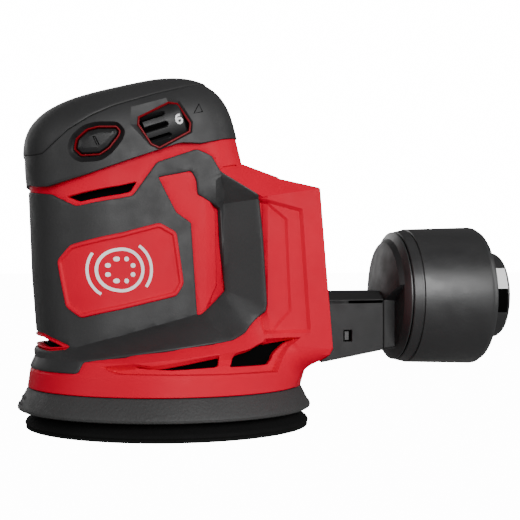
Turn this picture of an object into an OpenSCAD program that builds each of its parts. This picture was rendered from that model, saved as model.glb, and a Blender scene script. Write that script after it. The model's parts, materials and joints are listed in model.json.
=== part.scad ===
// Cordless random orbit sander: palm grip, battery block at the rear, round pad and dust box.
// Millimetres. +Z up, the origin is the centre of the pad's face, +X points to the battery block.

/* [Body] */
// Height of the head's crest above the pad's face
body_h = 153.5; // [140:0.1:190]
// Distance from the motor's axis to the front of the head
front_reach = 62; // [56:0.5:75]
// Distance from the motor's axis to the foot of the battery face
rear_reach = 67; // [64:0.5:82]
// Width of the grip under the fingers
grip_w = 70; // [68:0.5:86]
// Width of the head under the palm
head_w = 76; // [63:0.1:92]
// Width of the battery block
block_w = 76; // [70:0.5:92]
// Forward lean of the head, degrees
head_tilt = 14.6; // [12:0.2:17]
// Wall of the housing halves
wall = 3; // [2.4:0.1:3.6]
// Thickness of the rubber grip over the housing
grip_t = 1.6; // [1:0.1:2]
// Thickness of the palm pad over the head cover
palm_t = 3; // [2:0.1:4]

/* [Pad and skirt] */
// Diameter of the sanding pad
pad_d = 125; // [115:0.5:150]
// Thickness of the hook facing
hook_t = 1.2; // [0.8:0.1:2]
// Thickness of the pad's foam
foam_t = 5.3; // [4:0.1:8]
// Thickness of the pad's backing plate
plate_t = 2; // [1.6:0.1:3]
// Diameter of the circle of dust holes
dust_pcd = 65; // [60:0.5:80]
// Number of dust holes
dust_holes = 8; // [6:1:9]
// Diameter of a dust hole
dust_hole_d = 10; // [8:0.5:12]
// Offset between the motor's axis and the pad's axis
orbit = 1.2; // [0.8:0.1:1.6]
// Height of the rubber skirt
skirt_h = 9.6; // [8:0.1:12]

/* [Motor and bearings] */
// Diameter of the motor shaft
shaft_d = 8; // [7:0.5:10]
// Outer diameter of the lower bearing
lower_bearing_d = 22; // [20:0.5:26]
// Outer diameter of the upper bearing
upper_bearing_d = 19; // [18:0.5:24]
// Outer diameter of the pad bearing
pad_bearing_d = 28; // [26:0.5:32]
// Diameter of the pad spindle
pad_spindle_d = 12; // [10:0.5:14]
// Outer diameter of the stator
stator_d = 54; // [44:0.5:56]
// Height of the stator's iron
stator_h = 24; // [18:0.5:30]
// Outer diameter of the dust fan
fan_d = 88; // [76:1:94]
// Radial clearance of a running fit
run_gap = 0.04; // [0.02:0.01:0.1]

/* [Controls] */
// Diameter of the speed wheel
dial_d = 26; // [22:0.5:30]
// Width of the speed wheel
dial_w = 17.5; // [15:0.5:20]
// Travel of a push button
button_travel = 1.2; // [0.6:0.1:1.6]
// Clearance round a button or the speed wheel
control_gap = 0.4; // [0.3:0.05:0.6]

/* [Dust box] */
// Width of the dust port's stub
port_w = 22; // [18:0.5:24]
// Height of the dust port's stub
port_h = 21; // [18:0.5:22]
// Length of stub behind the battery face
port_len = 16; // [12:0.5:20]
// Wall of the ducts and of the dust box
duct_wall = 2; // [1.6:0.1:2.6]
// Length of the inlet sleeve
sleeve_len = 28.5; // [24:0.5:34]
// Diameter of the dust box at its front end
cup_d = 59.6; // [52:0.1:72]
// Length of the dust cup
cup_len = 38.7; // [34:0.1:50]
// Growth of the dust cup's diameter over its length
cup_draft = 2.8; // [1:0.1:4]
// Diameter of the filter
filter_d = 37; // [30:0.5:40]
// Sliding clearance in the dust box
slide_gap = 0.3; // [0.2:0.05:0.5]

/* [Hidden] */
$fn = 48;

// The outlines below are drawn for these sizes and stretch with the body.
drawn_front = 62;
drawn_rear = 67;
drawn_h = 153.5;
drawn_shoulder = 26.5;

// Heights, from the pad's face upwards
plate_z = hook_t + foam_t;
skirt_z = plate_z + 1.5;
base_z = skirt_z + skirt_h;
shoulder_z = base_z + 8.9;
spindle_z = plate_z + plate_t;
pad_bearing_h = 8;
pad_bearing_z = spindle_z + 4.5;
weight_z = pad_bearing_z - 0.8;
fan_z = pad_bearing_z + pad_bearing_h + 1;
fan_h = 10;
deck_z = fan_z + fan_h + 1.7;
deck_t = 3;
lower_bearing_h = 7;
lower_bearing_z = deck_z + deck_t;
stator_z = lower_bearing_z + lower_bearing_h + 10;
coil_over = 6;
cooling_fan_z = stator_z + stator_h + coil_over + 2;
cooling_fan_h = 5;
upper_bearing_h = 6;
upper_bearing_z = cooling_fan_z + cooling_fan_h + 2;
shaft_top = upper_bearing_z + upper_bearing_h + 1;
board_z = shaft_top + 2;

// Radii of the round base
pad_r = pad_d / 2;
skirt_r = pad_r + orbit + 0.6;
skirt_top_r = pad_r - 3.2;
base_r = pad_r - 3.5;

// Where the dust box meets the housing
port_face = max(rear_reach, base_r + 2.6);
skirt_wall = 2.4;

split = 0.05;      // half of the gap between the housing halves
skin_gap = 0.05;   // gap between an overmould or an inlay and the housing
far = 200;

// Head frame: its x axis follows the lean of the head
head_x = -14;
head_z = pz(117.3);

function px(x) = x < 0 ? x * front_reach / drawn_front : x * rear_reach / drawn_rear;
function pz(z) = shoulder_z + (z - drawn_shoulder) * (body_h - shoulder_z) / (drawn_h - drawn_shoulder);
function drawn(points) = [for (p = points) [px(p[0]), pz(p[1])]];

// Outlines in the side view

module housing_outline() polygon(concat(
    [[-base_r, base_z], [-base_r, shoulder_z]],
    drawn([[-57.6, 33.5], [-56, 36], [-56, 42], [-58, 60], [-60.4, 105], [-59, 105.5],
        [31.2, 129], [35, 113.2], [61.4, 103.3], [67, 34.8], [65.6, 31]]),
    [[base_r + 1.5, shoulder_z + 1.5], [base_r, base_z + 4], [base_r, base_z]]));

module head_outline() hull() {
    translate([px(-43.5), pz(122)]) circle(18.5);
    translate([px(-20), pz(111.8)]) circle(39.6);
    translate([px(5.5), body_h - 22]) circle(22);
    translate([px(28.4), pz(132)]) circle(3);
}

module below_head_line() polygon(drawn([[-90, 97.7], [100, 147.2], [100, 0], [-90, 0]]));

module above_head_line() polygon(drawn([[-90, 97.9], [100, 147.4], [100, 220], [-90, 220]]));

module above_seam() polygon(drawn([[-90, 116.2], [-55, 116.2], [-44.7, 125.8], [-35, 132], [-25.8, 136.3],
    [-8.4, 141.7], [8.1, 145.7], [24, 151], [60, 162], [60, 220], [-90, 220]]));

module grip_outline() difference() {
    polygon(drawn([[-90, 101.3], [-51, 99.4], [-41.3, 94.6], [-18.2, 99.3], [-8.2, 113.2], [8.5, 119],
        [14.8, 116.3], [18.7, 109.8], [35.1, 100.2], [36.8, 82.7], [38.3, 51.5], [22.2, 38.7],
        [-37, 31.5], [-41, 26.6], [-90, 26.6]]));
    strip_outline();
    badge_outline();
    polygon(drawn([[-90, 43], [-53, 43], [-41, 38.5], [-43, 34.5], [-90, 34.5]]));
}

module strip_outline() polygon(drawn([[-7.3, 106.9], [6.4, 109.8], [8.7, 105.9], [9.1, 100.1], [19.4, 94],
    [21.4, 60], [10.5, 49.7], [9.1, 49.3], [6.4, 88.2], [0.2, 92.6]]));

module badge_outline() polygon(drawn([[-48.5, 72.3], [-43.4, 78.8], [-7.1, 88], [0, 84.1], [3, 62.7],
    [0, 57.4], [-39.1, 48.6], [-45.1, 53.4]]));

module vent_outlines() {
    polygon(drawn([[-45.3, 98.3], [-16.5, 104.8], [-19.2, 100.6], [-39.9, 96.3]]));
    polygon(drawn([[-8, 29.6], [16.5, 34], [16, 28.2], [-8, 28.8]]));
    polygon(drawn([[20, 33.5], [28.3, 37.3], [43.5, 37.3], [43.5, 34], [36.5, 28.6], [20, 28.6]]));
}

// Building blocks

// Extrudes a side view outline across the whole width.
module across(w = far) rotate([90, 0, 0]) linear_extrude(height = w, center = true) children();

// Keeps what lies on one side of the split: side -1 is left, 1 is right.
module half(side) intersection() {
    children();
    translate([-far, side < 0 ? -far : split, -far]) cube([2 * far, far - split, 2 * far]);
}

// Top view of the grip or the head: a rounded nose and straight flanks.
module plan(w, front, back, corner) offset(r = corner) offset(delta = -corner) intersection() {
    translate([-front, -w / 2]) square([front + back, w]);
    union() {
        translate([-front + 1.3 * w / 2, 0]) circle(1.3 * w / 2, $fn = 96);
        translate([-front + w / 2, -w / 2]) square([back + front, w]);
    }
}

// Round shoulder of the base, cut down by o.
module base_form(o) rotate_extrude() polygon([[0, base_z - 1], [base_r - o, base_z - 1],
    [base_r - o, pz(29) - o / 2], [base_r - 1.4 - o, pz(32.8) - o / 2], [base_r - 3.4 - o, pz(35.8) - o],
    [grip_w / 2 + 2 - o, pz(49) - o], [0, pz(49) - o]]);

// The housing's outer form, cut down by o on every side.
module housing_form(o = 0) intersection() {
    union() {
        across() offset(delta = -o) intersection() {
            housing_outline();
            below_head_line();
        }
        if (o > 0) cylinder(r = base_r - o, h = pz(30));
    }
    union() {
        linear_extrude(height = far) offset(delta = -o) plan(grip_w, front_reach + 1, rear_reach, 20);
        translate([px(30) + o, -block_w / 2 + o, base_z]) cube([rear_reach + 10, block_w - 2 * o, far]);
        base_form(o);
    }
}

// The head's outer form, cut down by o on every side.
module head_form(o = 0) intersection() {
    across() offset(delta = -o) head_outline();
    linear_extrude(height = far) offset(delta = -o) plan(head_w, front_reach, px(32), 22);
    translate([head_x, 0, head_z]) rotate([0, -head_tilt, 0]) rotate([90, 0, 90])
        linear_extrude(height = far, center = true) offset(delta = -o) head_section();
}

// Front view of the head: straight flanks under a broad dome.
module head_section() hull() {
    translate([-head_w / 2, -40]) square([head_w, 50]);
    for (s = [-1, 1]) translate([s * (head_w / 2 - 17), 12]) circle(17);
    translate([0, -60.5]) circle(92, $fn = 96);
}

// Posts for the screws that join the halves: [x, z] in the side view.
screw_d = 3.8;
post_d = 10;
screw_len = 24;
screw_places = [[px(-50.5), pz(56)], [px(-52), pz(92)], [px(26), pz(112)], [rear_reach - 20, pz(101)],
    [rear_reach - 17, pz(60.5)]];

module at_screws() for (p = screw_places) translate([p[0], 0, p[1]]) rotate([90, 0, 0]) children();

// Ribs that hold the stator, and seats for the bracket and the deck
module rib(z, r, free_w) difference() {
    intersection() {
        housing_form(wall - 0.5);
        translate([-front_reach, -far / 2, z]) cube([front_reach + 30, far, 3]);
    }
    translate([0, 0, z - 1]) cylinder(r = r, h = 5);
    translate([-far, -free_w / 2, z - 1]) cube([2 * far, free_w, 5]);
}

module cradle() {
    for (z = [stator_z + 2, stator_z + stator_h - 5]) rib(z, stator_d / 2 + 0.1, 8);
    difference() {
        rib(upper_bearing_z + upper_bearing_h - 5.2, bracket_r - 9, 32);
        at_bracket_screws() cylinder(d = bracket_screw_d, h = far);
    }
}

// Wall behind the battery: its slot is open at the rear and at the top.
module battery_wall() intersection() {
    housing_form(1);
    translate([slot_x - wall, -far / 2, rail_z - wall]) cube([wall, far, far]);
}

module battery_slot() {
    translate([slot_x, -slot_w / 2, rail_z]) cube([30, slot_w, far]);
    translate([slot_x + 1, -slot_w / 2 - rail_t, rail_z]) cube([rail_t, slot_w + 2 * rail_t, far]);
}

module housing(side) color("firebrick") half(side) difference() {
    union() {
        difference() {
            housing_form();
            housing_form(wall);
            // way from the housing up into the head
            translate([-36, -22, board_z]) cube([46, 44, far]);
        }
        cradle();
        battery_wall();
        intersection() {
            housing_form(1);
            at_screws() cylinder(d = post_d, h = far, center = true);
        }
    }
    // seat of the rubber grip, and of the badge
    intersection() {
        across() union() {
            grip_outline();
            badge_outline();
        }
        difference() {
            housing_form();
            housing_form(grip_t + skin_gap);
        }
    }
    // side vents
    intersection() {
        across() vent_outlines();
        union() for (s = [-1, 1]) translate([-far, s * (grip_w / 2 + 12) - 25, 0]) cube([2 * far, 50, far]);
    }
    // front vent
    translate([-front_reach - 5, -19, pz(37)]) cube([26, 38, pz(41.5) - pz(37)]);
    // dust port and battery contacts
    translate([rear_reach - 27, -port_w / 2 - 0.2, port_z - 0.2]) cube([60, port_w + 0.4, port_h + 0.4]);
    translate([rear_reach - 15, -contact_w / 2 - 0.2, contact_z - 0.2]) cube([60, contact_w + 0.4, contact_h + 0.4]);
    battery_slot();
    // the speed wheel reaches down into the top of the housing
    dial_pocket();
    // screws: a clearance hole from the right, a pilot in the left
    at_screws() cylinder(d = screw_d + 0.1, h = 2 * (screw_len / 2 + 1), center = true);
    screw_wells();
}

module screw_wells() at_screws() rotate([180, 0, 0]) translate([0, 0, screw_len / 2 - 2.9])
    cylinder(d = 7.2, h = far);

module left_housing() housing(-1);

module right_housing() housing(1);

module grip(side) color("#262626") half(side) difference() {
    intersection() {
        across() offset(delta = -skin_gap) grip_outline();
        difference() {
            housing_form();
            housing_form(grip_t);
        }
    }
    screw_wells();
}

module left_grip() grip(-1);

module right_grip() grip(1);

module badge(side) color("crimson") half(side) intersection() {
    across() offset(delta = -0.15) badge_outline();
    difference() {
        housing_form();
        housing_form(grip_t);
    }
}

module left_badge() badge(-1);

module right_badge() badge(1);

// Head

button_w = 19.5;
button_h = 10;
button_t = 4;
rim_t = 0.9;
button_x = -32.5;
button_z = pz(122);
button_turn = 6;       // the head's flank turns away towards the nose
dial_x = -5.2;
dial_z = pz(128.8);
dial_y = -head_w / 2 + dial_d / 2 + 1;
dial_lean = head_tilt + 4;
cover_t = 2.5;

// A frame on the head's flank, z pointing out of the head; side -1 is left.
module on_flank(x, z, turn, side) translate([px(x), side * (head_w / 2 - 0.5), z])
    rotate([0, 0, side * turn]) rotate([0, -head_tilt, 0]) rotate([side < 0 ? 90 : -90, 0, 0])
    mirror([0, side < 0 ? 0 : 1, 0]) children();

module button_shape(grow = 0) offset(delta = grow) polygon([[-button_w / 2, -1], [-button_w / 4, button_h / 2],
    [button_w / 4, button_h / 2], [button_w / 2, 1], [button_w / 4, -button_h / 2], [-button_w / 4, -button_h / 2]]);

module button_place(side) on_flank(button_x, button_z, button_turn, side) translate([0, 0, -1.6]) children();

module button_solid(side) color("#1e1e1e") button_place(side) translate([0, 0, -button_t])
    linear_extrude(height = button_t + 0.9) button_shape();

module button_rim(side) color("firebrick") button_place(side) translate([0, 0, -1.2])
    linear_extrude(height = 2.4) difference() {
        button_shape(control_gap + rim_t);
        button_shape(control_gap);
    }

module on_button() button_solid(-1);

module off_button() button_solid(1);

module on_button_rim() button_rim(-1);

module off_button_rim() button_rim(1);

module dial_window(grow = 0) offset(delta = grow) polygon([[-10.6, 2.4], [-10.6, -6.4], [-7.6, -9.2], [6.6, -9.2],
    [10.2, -6], [10.2, 3.6], [6.8, 8], [-7.2, 8]]);

module dial_place() translate([px(dial_x), dial_y, dial_z]) rotate([0, -dial_lean, 0]) children();

module dial_pocket() {
    dial_place() rotate([90, 0, 0]) translate([0, 0, dial_d / 2 - 1.05]) linear_extrude(height = 12)
        dial_window(rim_t + skin_gap);
    dial_place() rotate([0, 90, 0]) cylinder(d = dial_d + 2 * control_gap, h = dial_w + 2 * control_gap, center = true);
}

module dial_rim() color("firebrick") intersection() {
    dial_place() rotate([90, 0, 0]) translate([0, 0, dial_d / 2 - 1]) linear_extrude(height = 2)
        difference() {
            dial_window(rim_t);
            dial_window();
        }
    head_form(0.2);
}

module speed_dial() color("#181818") dial_place() rotate([0, 90, 0]) translate([0, 0, -dial_w / 2]) difference() {
    union() {
        cylinder(d = dial_d - 1.6, h = dial_w);
        linear_extrude(height = dial_w * 0.62) {
            circle(d = dial_d - 2);
            for (i = [0:19]) rotate(i * 18) translate([dial_d / 2 - 3, -0.8]) square([3, 1.6]);
        }
    }
    translate([0, 0, -1]) cylinder(d = 5, h = dial_w + 2);
}

// The wheel's spindle and its sensor
module speed_sensor() color("#40515f") dial_place() rotate([0, 90, 0]) {
    cylinder(d = 5 - 2 * run_gap, h = dial_w + 8, center = true);
    translate([-5, -5, dial_w / 2 + 0.6]) cube([10, 10, 3]);
}

module head_cover() color("#2b2b2b") difference() {
    union() {
        intersection() {
            head_form();
            across() difference() {
                intersection() {
                    head_outline();
                    above_head_line();
                }
                above_seam();
            }
        }
        intersection() {
            head_form(palm_t + skin_gap);
            across() above_head_line();
        }
    }
    intersection() {
        head_form(palm_t + cover_t);
        across() offset(delta = -1.5) above_head_line();
    }
    translate([-40, -24, board_z]) cube([52, 48, pz(124) - board_z]);
    for (s = [-1, 1]) button_place(s) {
        translate([0, 0, -1.25]) linear_extrude(height = 12) button_shape(control_gap + rim_t + skin_gap);
        translate([0, 0, -8]) linear_extrude(height = 12) button_shape(control_gap);
    }
    dial_pocket();
    dial_place() rotate([0, 90, 0]) cylinder(d = 5, h = dial_w + 9, center = true);
    dial_place() rotate([0, 90, 0]) translate([-5.3, -5.3, dial_w / 2 + 0.4]) cube([10.6, 10.6, 3.6]);
}

module palm_pad() color("#333333") difference() {
    intersection() {
        head_form();
        across() above_seam();
    }
    head_form(palm_t);
}

module switch_board() color("darkgreen") translate([px(button_x) + 2, 0, button_z - 4]) rotate([0, -head_tilt, 0]) {
    cube([16, 34, 1.6], center = true);
    for (s = [-1, 1]) translate([0, s * 13.5, 2.5]) cube([6, 6, 3.4], center = true);
}

// Base

module skirt() color("#2d2d2d") rotate_extrude() polygon([[skirt_r - 1.2, skirt_z], [skirt_r, skirt_z + 1.6],
    [skirt_r - 0.2, skirt_z + 3], [skirt_top_r + 0.4, base_z], [skirt_top_r - 2.2, base_z],
    [base_r - wall - 0.1, base_z - 0.5], [base_r - wall - 0.1, base_z + 3], [base_r - wall - 1.8, base_z + 3],
    [base_r - wall - 1.8, base_z - 2.6], [skirt_top_r - 2.6, base_z - 2.6], [skirt_r - skirt_wall, skirt_z + 2.6],
    [skirt_r - skirt_wall, skirt_z]]);

chamber_r = fan_d / 2 + 3;
duct_x = stator_d / 2 + 1.5;
port_z = deck_z - 1.8;

// Plate over the dust fan: lower bearing's seat and the wall of the fan's chamber
module fan_housing() color("#3a3a3c") difference() {
    union() {
        translate([0, 0, base_z + 3.2]) cylinder(r = chamber_r + 2, h = deck_z - base_z - 3.2);
        translate([0, 0, deck_z]) cylinder(r1 = chamber_r + 2, r2 = chamber_r - 1.5, h = deck_t);
        translate([0, 0, base_z + 3.2]) cylinder(r = base_r - wall - 0.1, h = 2);
        cylinder(d = lower_bearing_d + 5, h = lower_bearing_z + lower_bearing_h);
        translate([duct_x, -port_w / 2, deck_z]) cube([chamber_r + 2 - duct_x, port_w, port_z + port_h - deck_z]);
    }
    translate([0, 0, -1]) cylinder(r = chamber_r, h = deck_z + 1);
    translate([0, 0, lower_bearing_z - 0.01]) cylinder(d = lower_bearing_d + 0.02, h = lower_bearing_h + 1);
    cylinder(d = lower_bearing_d - 5, h = far);
    // the fan blows up through the deck into the duct
    translate([duct_x + duct_wall, -port_w / 2 + duct_wall, deck_z - 1])
        cube([far, port_w - 2 * duct_wall, port_z + port_h - duct_wall - deck_z + 1]);
}

module dust_port() color("#242424") difference() {
    union() {
        translate([chamber_r + 2.1, -port_w / 2, port_z])
            cube([port_face + port_len - chamber_r - 2.1, port_w, port_h]);
        for (s = [-1, 1]) translate([latch_x, s * (port_w / 2), latch_z])
            cube([3.2, 2 * 0.8 * slide_gap, 4.2], center = true);
    }
    translate([chamber_r, -port_w / 2 + duct_wall, port_z + duct_wall])
        cube([far, port_w - 2 * duct_wall, port_h - 2 * duct_wall]);
}

// Bearing: races and balls as separate rings, o is the outer radius and i the bore.
function race(o, i) = (o - i) * 0.3;

module outer_race(o, i, h) difference() {
    cylinder(r = o, h = h);
    translate([0, 0, -1]) cylinder(r = o - race(o, i), h = h + 2);
}

module inner_race(o, i, h) difference() {
    cylinder(r = i + race(o, i), h = h);
    translate([0, 0, -1]) cylinder(r = i, h = h + 2);
}

module balls(o, i, h, count) for (k = [0:count - 1]) rotate([0, 0, k * 360 / count])
    translate([(o + i) / 2, 0, h / 2]) sphere(r = (o - i) * 0.2 - run_gap);

lower_o = lower_bearing_d / 2;
upper_o = upper_bearing_d / 2;
pad_o = pad_bearing_d / 2;
shaft_r = shaft_d / 2;
shaft_top_r = 3;
spindle_r = pad_spindle_d / 2;

module lower_bearing_race() color("silver") translate([0, 0, lower_bearing_z])
    outer_race(lower_o, shaft_r, lower_bearing_h);

module lower_bearing_balls() color("silver") translate([0, 0, lower_bearing_z])
    balls(lower_o, shaft_r, lower_bearing_h, 8);

module lower_bearing_cone() color("silver") translate([0, 0, lower_bearing_z])
    inner_race(lower_o, shaft_r, lower_bearing_h);

module upper_bearing_race() color("silver") translate([0, 0, upper_bearing_z])
    outer_race(upper_o, shaft_top_r, upper_bearing_h);

module upper_bearing_balls() color("silver") translate([0, 0, upper_bearing_z])
    balls(upper_o, shaft_top_r, upper_bearing_h, 8);

module upper_bearing_cone() color("silver") translate([0, 0, upper_bearing_z])
    inner_race(upper_o, shaft_top_r, upper_bearing_h);

module bearing_bracket() color("#505050") difference() {
    union() {
        translate([0, 0, upper_bearing_z + upper_bearing_h - 2]) cylinder(r = bracket_r, h = 3);
        translate([0, 0, upper_bearing_z]) cylinder(d = upper_bearing_d + 5, h = upper_bearing_h + 1);
    }
    translate([0, 0, upper_bearing_z - 1]) cylinder(d = upper_bearing_d + 0.02, h = upper_bearing_h + 1);
    cylinder(r = upper_o - 2.5, h = far);
    for (k = [0:5]) rotate([0, 0, 30 + k * 60]) translate([bracket_r - 8, 0, 0]) cylinder(r = 3.4, h = far);
    at_bracket_screws() cylinder(d = bracket_screw_d + 0.1, h = far);
}

bracket_r = grip_w / 2 - wall - 1.2;

bracket_screw_d = 2.5;

module at_bracket_screws() for (a = [60, 120, 240, 300]) rotate([0, 0, a]) translate([bracket_r - 4.5, 0, 0]) children();

module bracket_screws() color("silver") at_bracket_screws() translate([0, 0, upper_bearing_z + upper_bearing_h + 1]) {
    cylinder(d = 4.6, h = 1.8);
    translate([0, 0, -7]) cylinder(d = bracket_screw_d, h = 7.5);
}

// Motor

module stator_core() color("#8a8d92") translate([0, 0, stator_z]) difference() {
    cylinder(d = stator_d, h = stator_h);
    translate([0, 0, -1]) cylinder(d = rotor_d + 1.2, h = stator_h + 2);
    for (k = [0:5]) rotate([0, 0, k * 60 + 30]) translate([stator_d / 2 - 8.2, 0, -1]) {
        cylinder(r = 4.4, h = stator_h + 2);
        translate([-8, -1, 0]) cube([8, 2, stator_h + 2]);
    }
}

rotor_d = stator_d / 2;
coil_w = stator_d / 2 - rotor_d / 2 - 6.5;

module stator_insulator() color("ivory") for (z = [stator_z - 1.5, stator_z + stator_h]) translate([0, 0, z])
    difference() {
        cylinder(d = stator_d - 3, h = 1.5);
        translate([0, 0, -1]) cylinder(d = stator_d - 8, h = 4);
    }

// Coil heads over the stator's teeth
module windings() color("peru") for (k = [0:5]) rotate([0, 0, k * 60])
    for (z = [stator_z - coil_over, stator_z + stator_h])
        translate([rotor_d / 2 + 1.4, -5.4, z]) cube([coil_w, 10.8, coil_over]);

module motor_shaft() color("silver") difference() {
    union() {
        translate([0, 0, weight_top]) cylinder(r = shaft_r, h = cooling_fan_z - weight_top);
        translate([0, 0, cooling_fan_z]) cylinder(r = shaft_top_r, h = shaft_top - cooling_fan_z);
    }
    translate([shaft_r - 0.6, -far / 2, weight_top]) cube([far, far, fan_h]);
}

module rotor_core() color("#6f7276") translate([0, 0, stator_z - 1]) difference() {
    cylinder(d = rotor_d, h = stator_h + 2);
    translate([0, 0, -1]) cylinder(r = shaft_r, h = stator_h + 4);
}

module cooling_fan() color("#2f2f2f") translate([0, 0, cooling_fan_z]) difference() {
    union() {
        cylinder(r = stator_d / 2 - 5, h = 1.2);
        linear_extrude(height = cooling_fan_h) {
            circle(6.5);
            for (k = [0:10]) rotate(k * 360 / 11) translate([5, -0.6]) square([stator_d / 2 - 11, 1.2]);
        }
    }
    translate([0, 0, -1]) cylinder(r = shaft_top_r, h = far);
}

weight_top = pad_bearing_z + pad_bearing_h + 0.5;
weight_r = 22;

// Carries the pad's bearing beside the motor's axis, heavier on the far side
module counterweight() color("#7d6f4f") difference() {
    union() {
        translate([0, 0, weight_z]) cylinder(r = pad_o + orbit + 2.2, h = weight_top - weight_z + 1);
        intersection() {
            translate([0, 0, weight_z]) cylinder(r = weight_r, h = weight_top - weight_z + 1);
            translate([-far, -far / 2, 0]) cube([far - 3, far, far]);
        }
        cylinder_from(shaft_r + 4, weight_top, fan_h - 1);
    }
    translate([orbit, 0, weight_z - 1]) cylinder(r = pad_o + 0.01, h = pad_bearing_h + 0.8 + 1);
    translate([orbit, 0, weight_z - 1]) cylinder(r = pad_o - 3, h = weight_top - weight_z + 0.9);
    difference() {
        translate([0, 0, weight_top]) cylinder(r = shaft_r, h = far);
        translate([shaft_r - 0.6, -far / 2, 0]) cube([far, far, far]);
    }
}

module cylinder_from(r, z, h) translate([0, 0, z]) cylinder(r = r, h = h);

module dust_fan() color("#202224") difference() {
    union() {
        translate([0, 0, fan_z + fan_h - 2]) cylinder(d = fan_d, h = 1.6);
        cylinder_from(shaft_r + 8, weight_top + 1.1, fan_z + fan_h - weight_top - 2);
        for (k = [0:13]) rotate([0, 0, k * 360 / 14]) translate([weight_r + 3, 0, fan_z])
            rotate([0, 0, 24]) cube([(fan_d / 2 - weight_r - 3) * 0.9, 1.4, fan_h - 1]);
    }
    translate([0, 0, weight_top]) cylinder(r = shaft_r + 4.02, h = far);
}

// Pad

module on_pad_axis() translate([orbit, 0, 0]) children();

module pad_bearing_race() color("silver") on_pad_axis() translate([0, 0, pad_bearing_z])
    outer_race(pad_o, spindle_r, pad_bearing_h);

module pad_bearing_balls() color("silver") on_pad_axis() translate([0, 0, pad_bearing_z])
    balls(pad_o, spindle_r, pad_bearing_h, 9);

module pad_bearing_cone() color("silver") on_pad_axis() translate([0, 0, pad_bearing_z])
    inner_race(pad_o, spindle_r, pad_bearing_h);

pad_screw_d = 6;

module pad_spindle() color("#9a9a9a") on_pad_axis() difference() {
    union() {
        translate([0, 0, spindle_z]) cylinder(r = spindle_r + 2.4, h = pad_bearing_z - spindle_z);
        translate([0, 0, spindle_z]) cylinder(r = spindle_r, h = pad_bearing_z + pad_bearing_h - spindle_z - 0.5);
        translate([0, 0, spindle_z]) cylinder(r = 17, h = 2);
    }
    translate([0, 0, spindle_z - 1]) cylinder(d = pad_screw_d + 0.1, h = 13);
}

module dust_hole_pattern() for (k = [0:dust_holes - 1]) rotate([0, 0, (k + 0.5) * 360 / dust_holes])
    translate([dust_pcd / 2, 0, -1]) cylinder(d = dust_hole_d, h = 30);

module pad_plate() color("#1c1c1c") on_pad_axis() difference() {
    translate([0, 0, plate_z]) cylinder(r = pad_r - 9, h = plate_t);
    dust_hole_pattern();
    cylinder(d = pad_screw_d + 0.4, h = far);
}

module pad_foam() color("#111111") on_pad_axis() difference() {
    rotate_extrude() polygon([[10, hook_t], [pad_r - 0.4, hook_t], [pad_r, hook_t + 0.8], [pad_r - 0.6, hook_t + 2],
        [pad_r - 5, plate_z], [10, plate_z]]);
    dust_hole_pattern();
}

module hook_face() color("#0c0c0c") on_pad_axis() difference() {
    cylinder(r = pad_r - 0.4, h = hook_t);
    dust_hole_pattern();
    translate([0, 0, -1]) cylinder(r = 10, h = 9);
}

module pad_washer() color("silver") on_pad_axis() difference() {
    translate([0, 0, plate_z - 1.4]) cylinder(r = 8.5, h = 1.4);
    cylinder(d = pad_screw_d + 0.4, h = far);
}

module pad_screw() color("gray") on_pad_axis() difference() {
    union() {
        translate([0, 0, plate_z - 4.9]) cylinder(r = 5.2, h = 3.5);
        translate([0, 0, plate_z - 1.5]) cylinder(d = pad_screw_d, h = 13);
    }
    translate([0, 0, plate_z - 6]) cylinder(r = 2.6, h = 3.6, $fn = 6);
}

// Electronics

contact_w = 40;
contact_h = 26;
contact_z = pz(70);
slot_x = rear_reach - 10.5;
slot_w = 50;
rail_t = 3;
rail_z = pz(64);

module control_board() color("darkgreen") translate([-16, 0, board_z + 0.8]) cube([30, 38, 1.6], center = true);

module board_parts() color("#2a2a30") translate([-16, 0, board_z + 1.6]) {
    for (s = [-1, 1]) translate([-7, s * 11, 0]) cylinder(d = 8, h = 9);
    for (k = [-1, 0, 1]) translate([3, k * 11 - 3, 0]) cube([7, 6, 2.6]);
}

module terminal_block() color("#1a1a1a") difference() {
    union() {
        translate([slot_x - 9.5, -contact_w / 2, contact_z]) cube([9, contact_w, contact_h]);
        translate([slot_x - 11.5, -contact_w / 2 - 3, contact_z - 0.6]) cube([3, contact_w + 6, contact_h - 2]);
    }
    for (k = [-2:2]) translate([slot_x - 8, k * 7.5 - 0.6, contact_z + 4]) cube([far, 1.2, far]);
}

module terminal_blades() color("goldenrod") for (k = [-2:2])
    translate([slot_x - 8, k * 7.5 - 0.4, contact_z + 5]) cube([5.4, 0.8, contact_h - 8]);

// Sweeps a round wire along points, with n sides.
function unit(v) = v / norm(v);
function along(p, i) = unit(i == 0 ? p[1] - p[0] : i == len(p) - 1 ? p[i] - p[i - 1]
    : unit(p[i + 1] - p[i]) + unit(p[i] - p[i - 1]));
function across_of(d) = unit(cross(d, abs(d[2]) < 0.8 ? [0, 0, 1] : [1, 0, 0]));

module wire(p, r, n = 8) {
    rings = [for (i = [0:len(p) - 1]) let (d = along(p, i), u = across_of(d), v = cross(d, u))
        for (k = [0:n - 1]) p[i] + r * (cos(k * 360 / n) * u + sin(k * 360 / n) * v)];
    sides = [for (i = [0:len(p) - 2]) for (k = [0:n - 1]) each [
        [i * n + k, (i + 1) * n + k, (i + 1) * n + (k + 1) % n],
        [i * n + k, (i + 1) * n + (k + 1) % n, i * n + (k + 1) % n]]];
    first = [for (k = [0:n - 1]) k];
    last = [for (k = [n - 1:-1:0]) (len(p) - 1) * n + k];
    polyhedron(rings, concat(sides, [first, last]));
}

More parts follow.
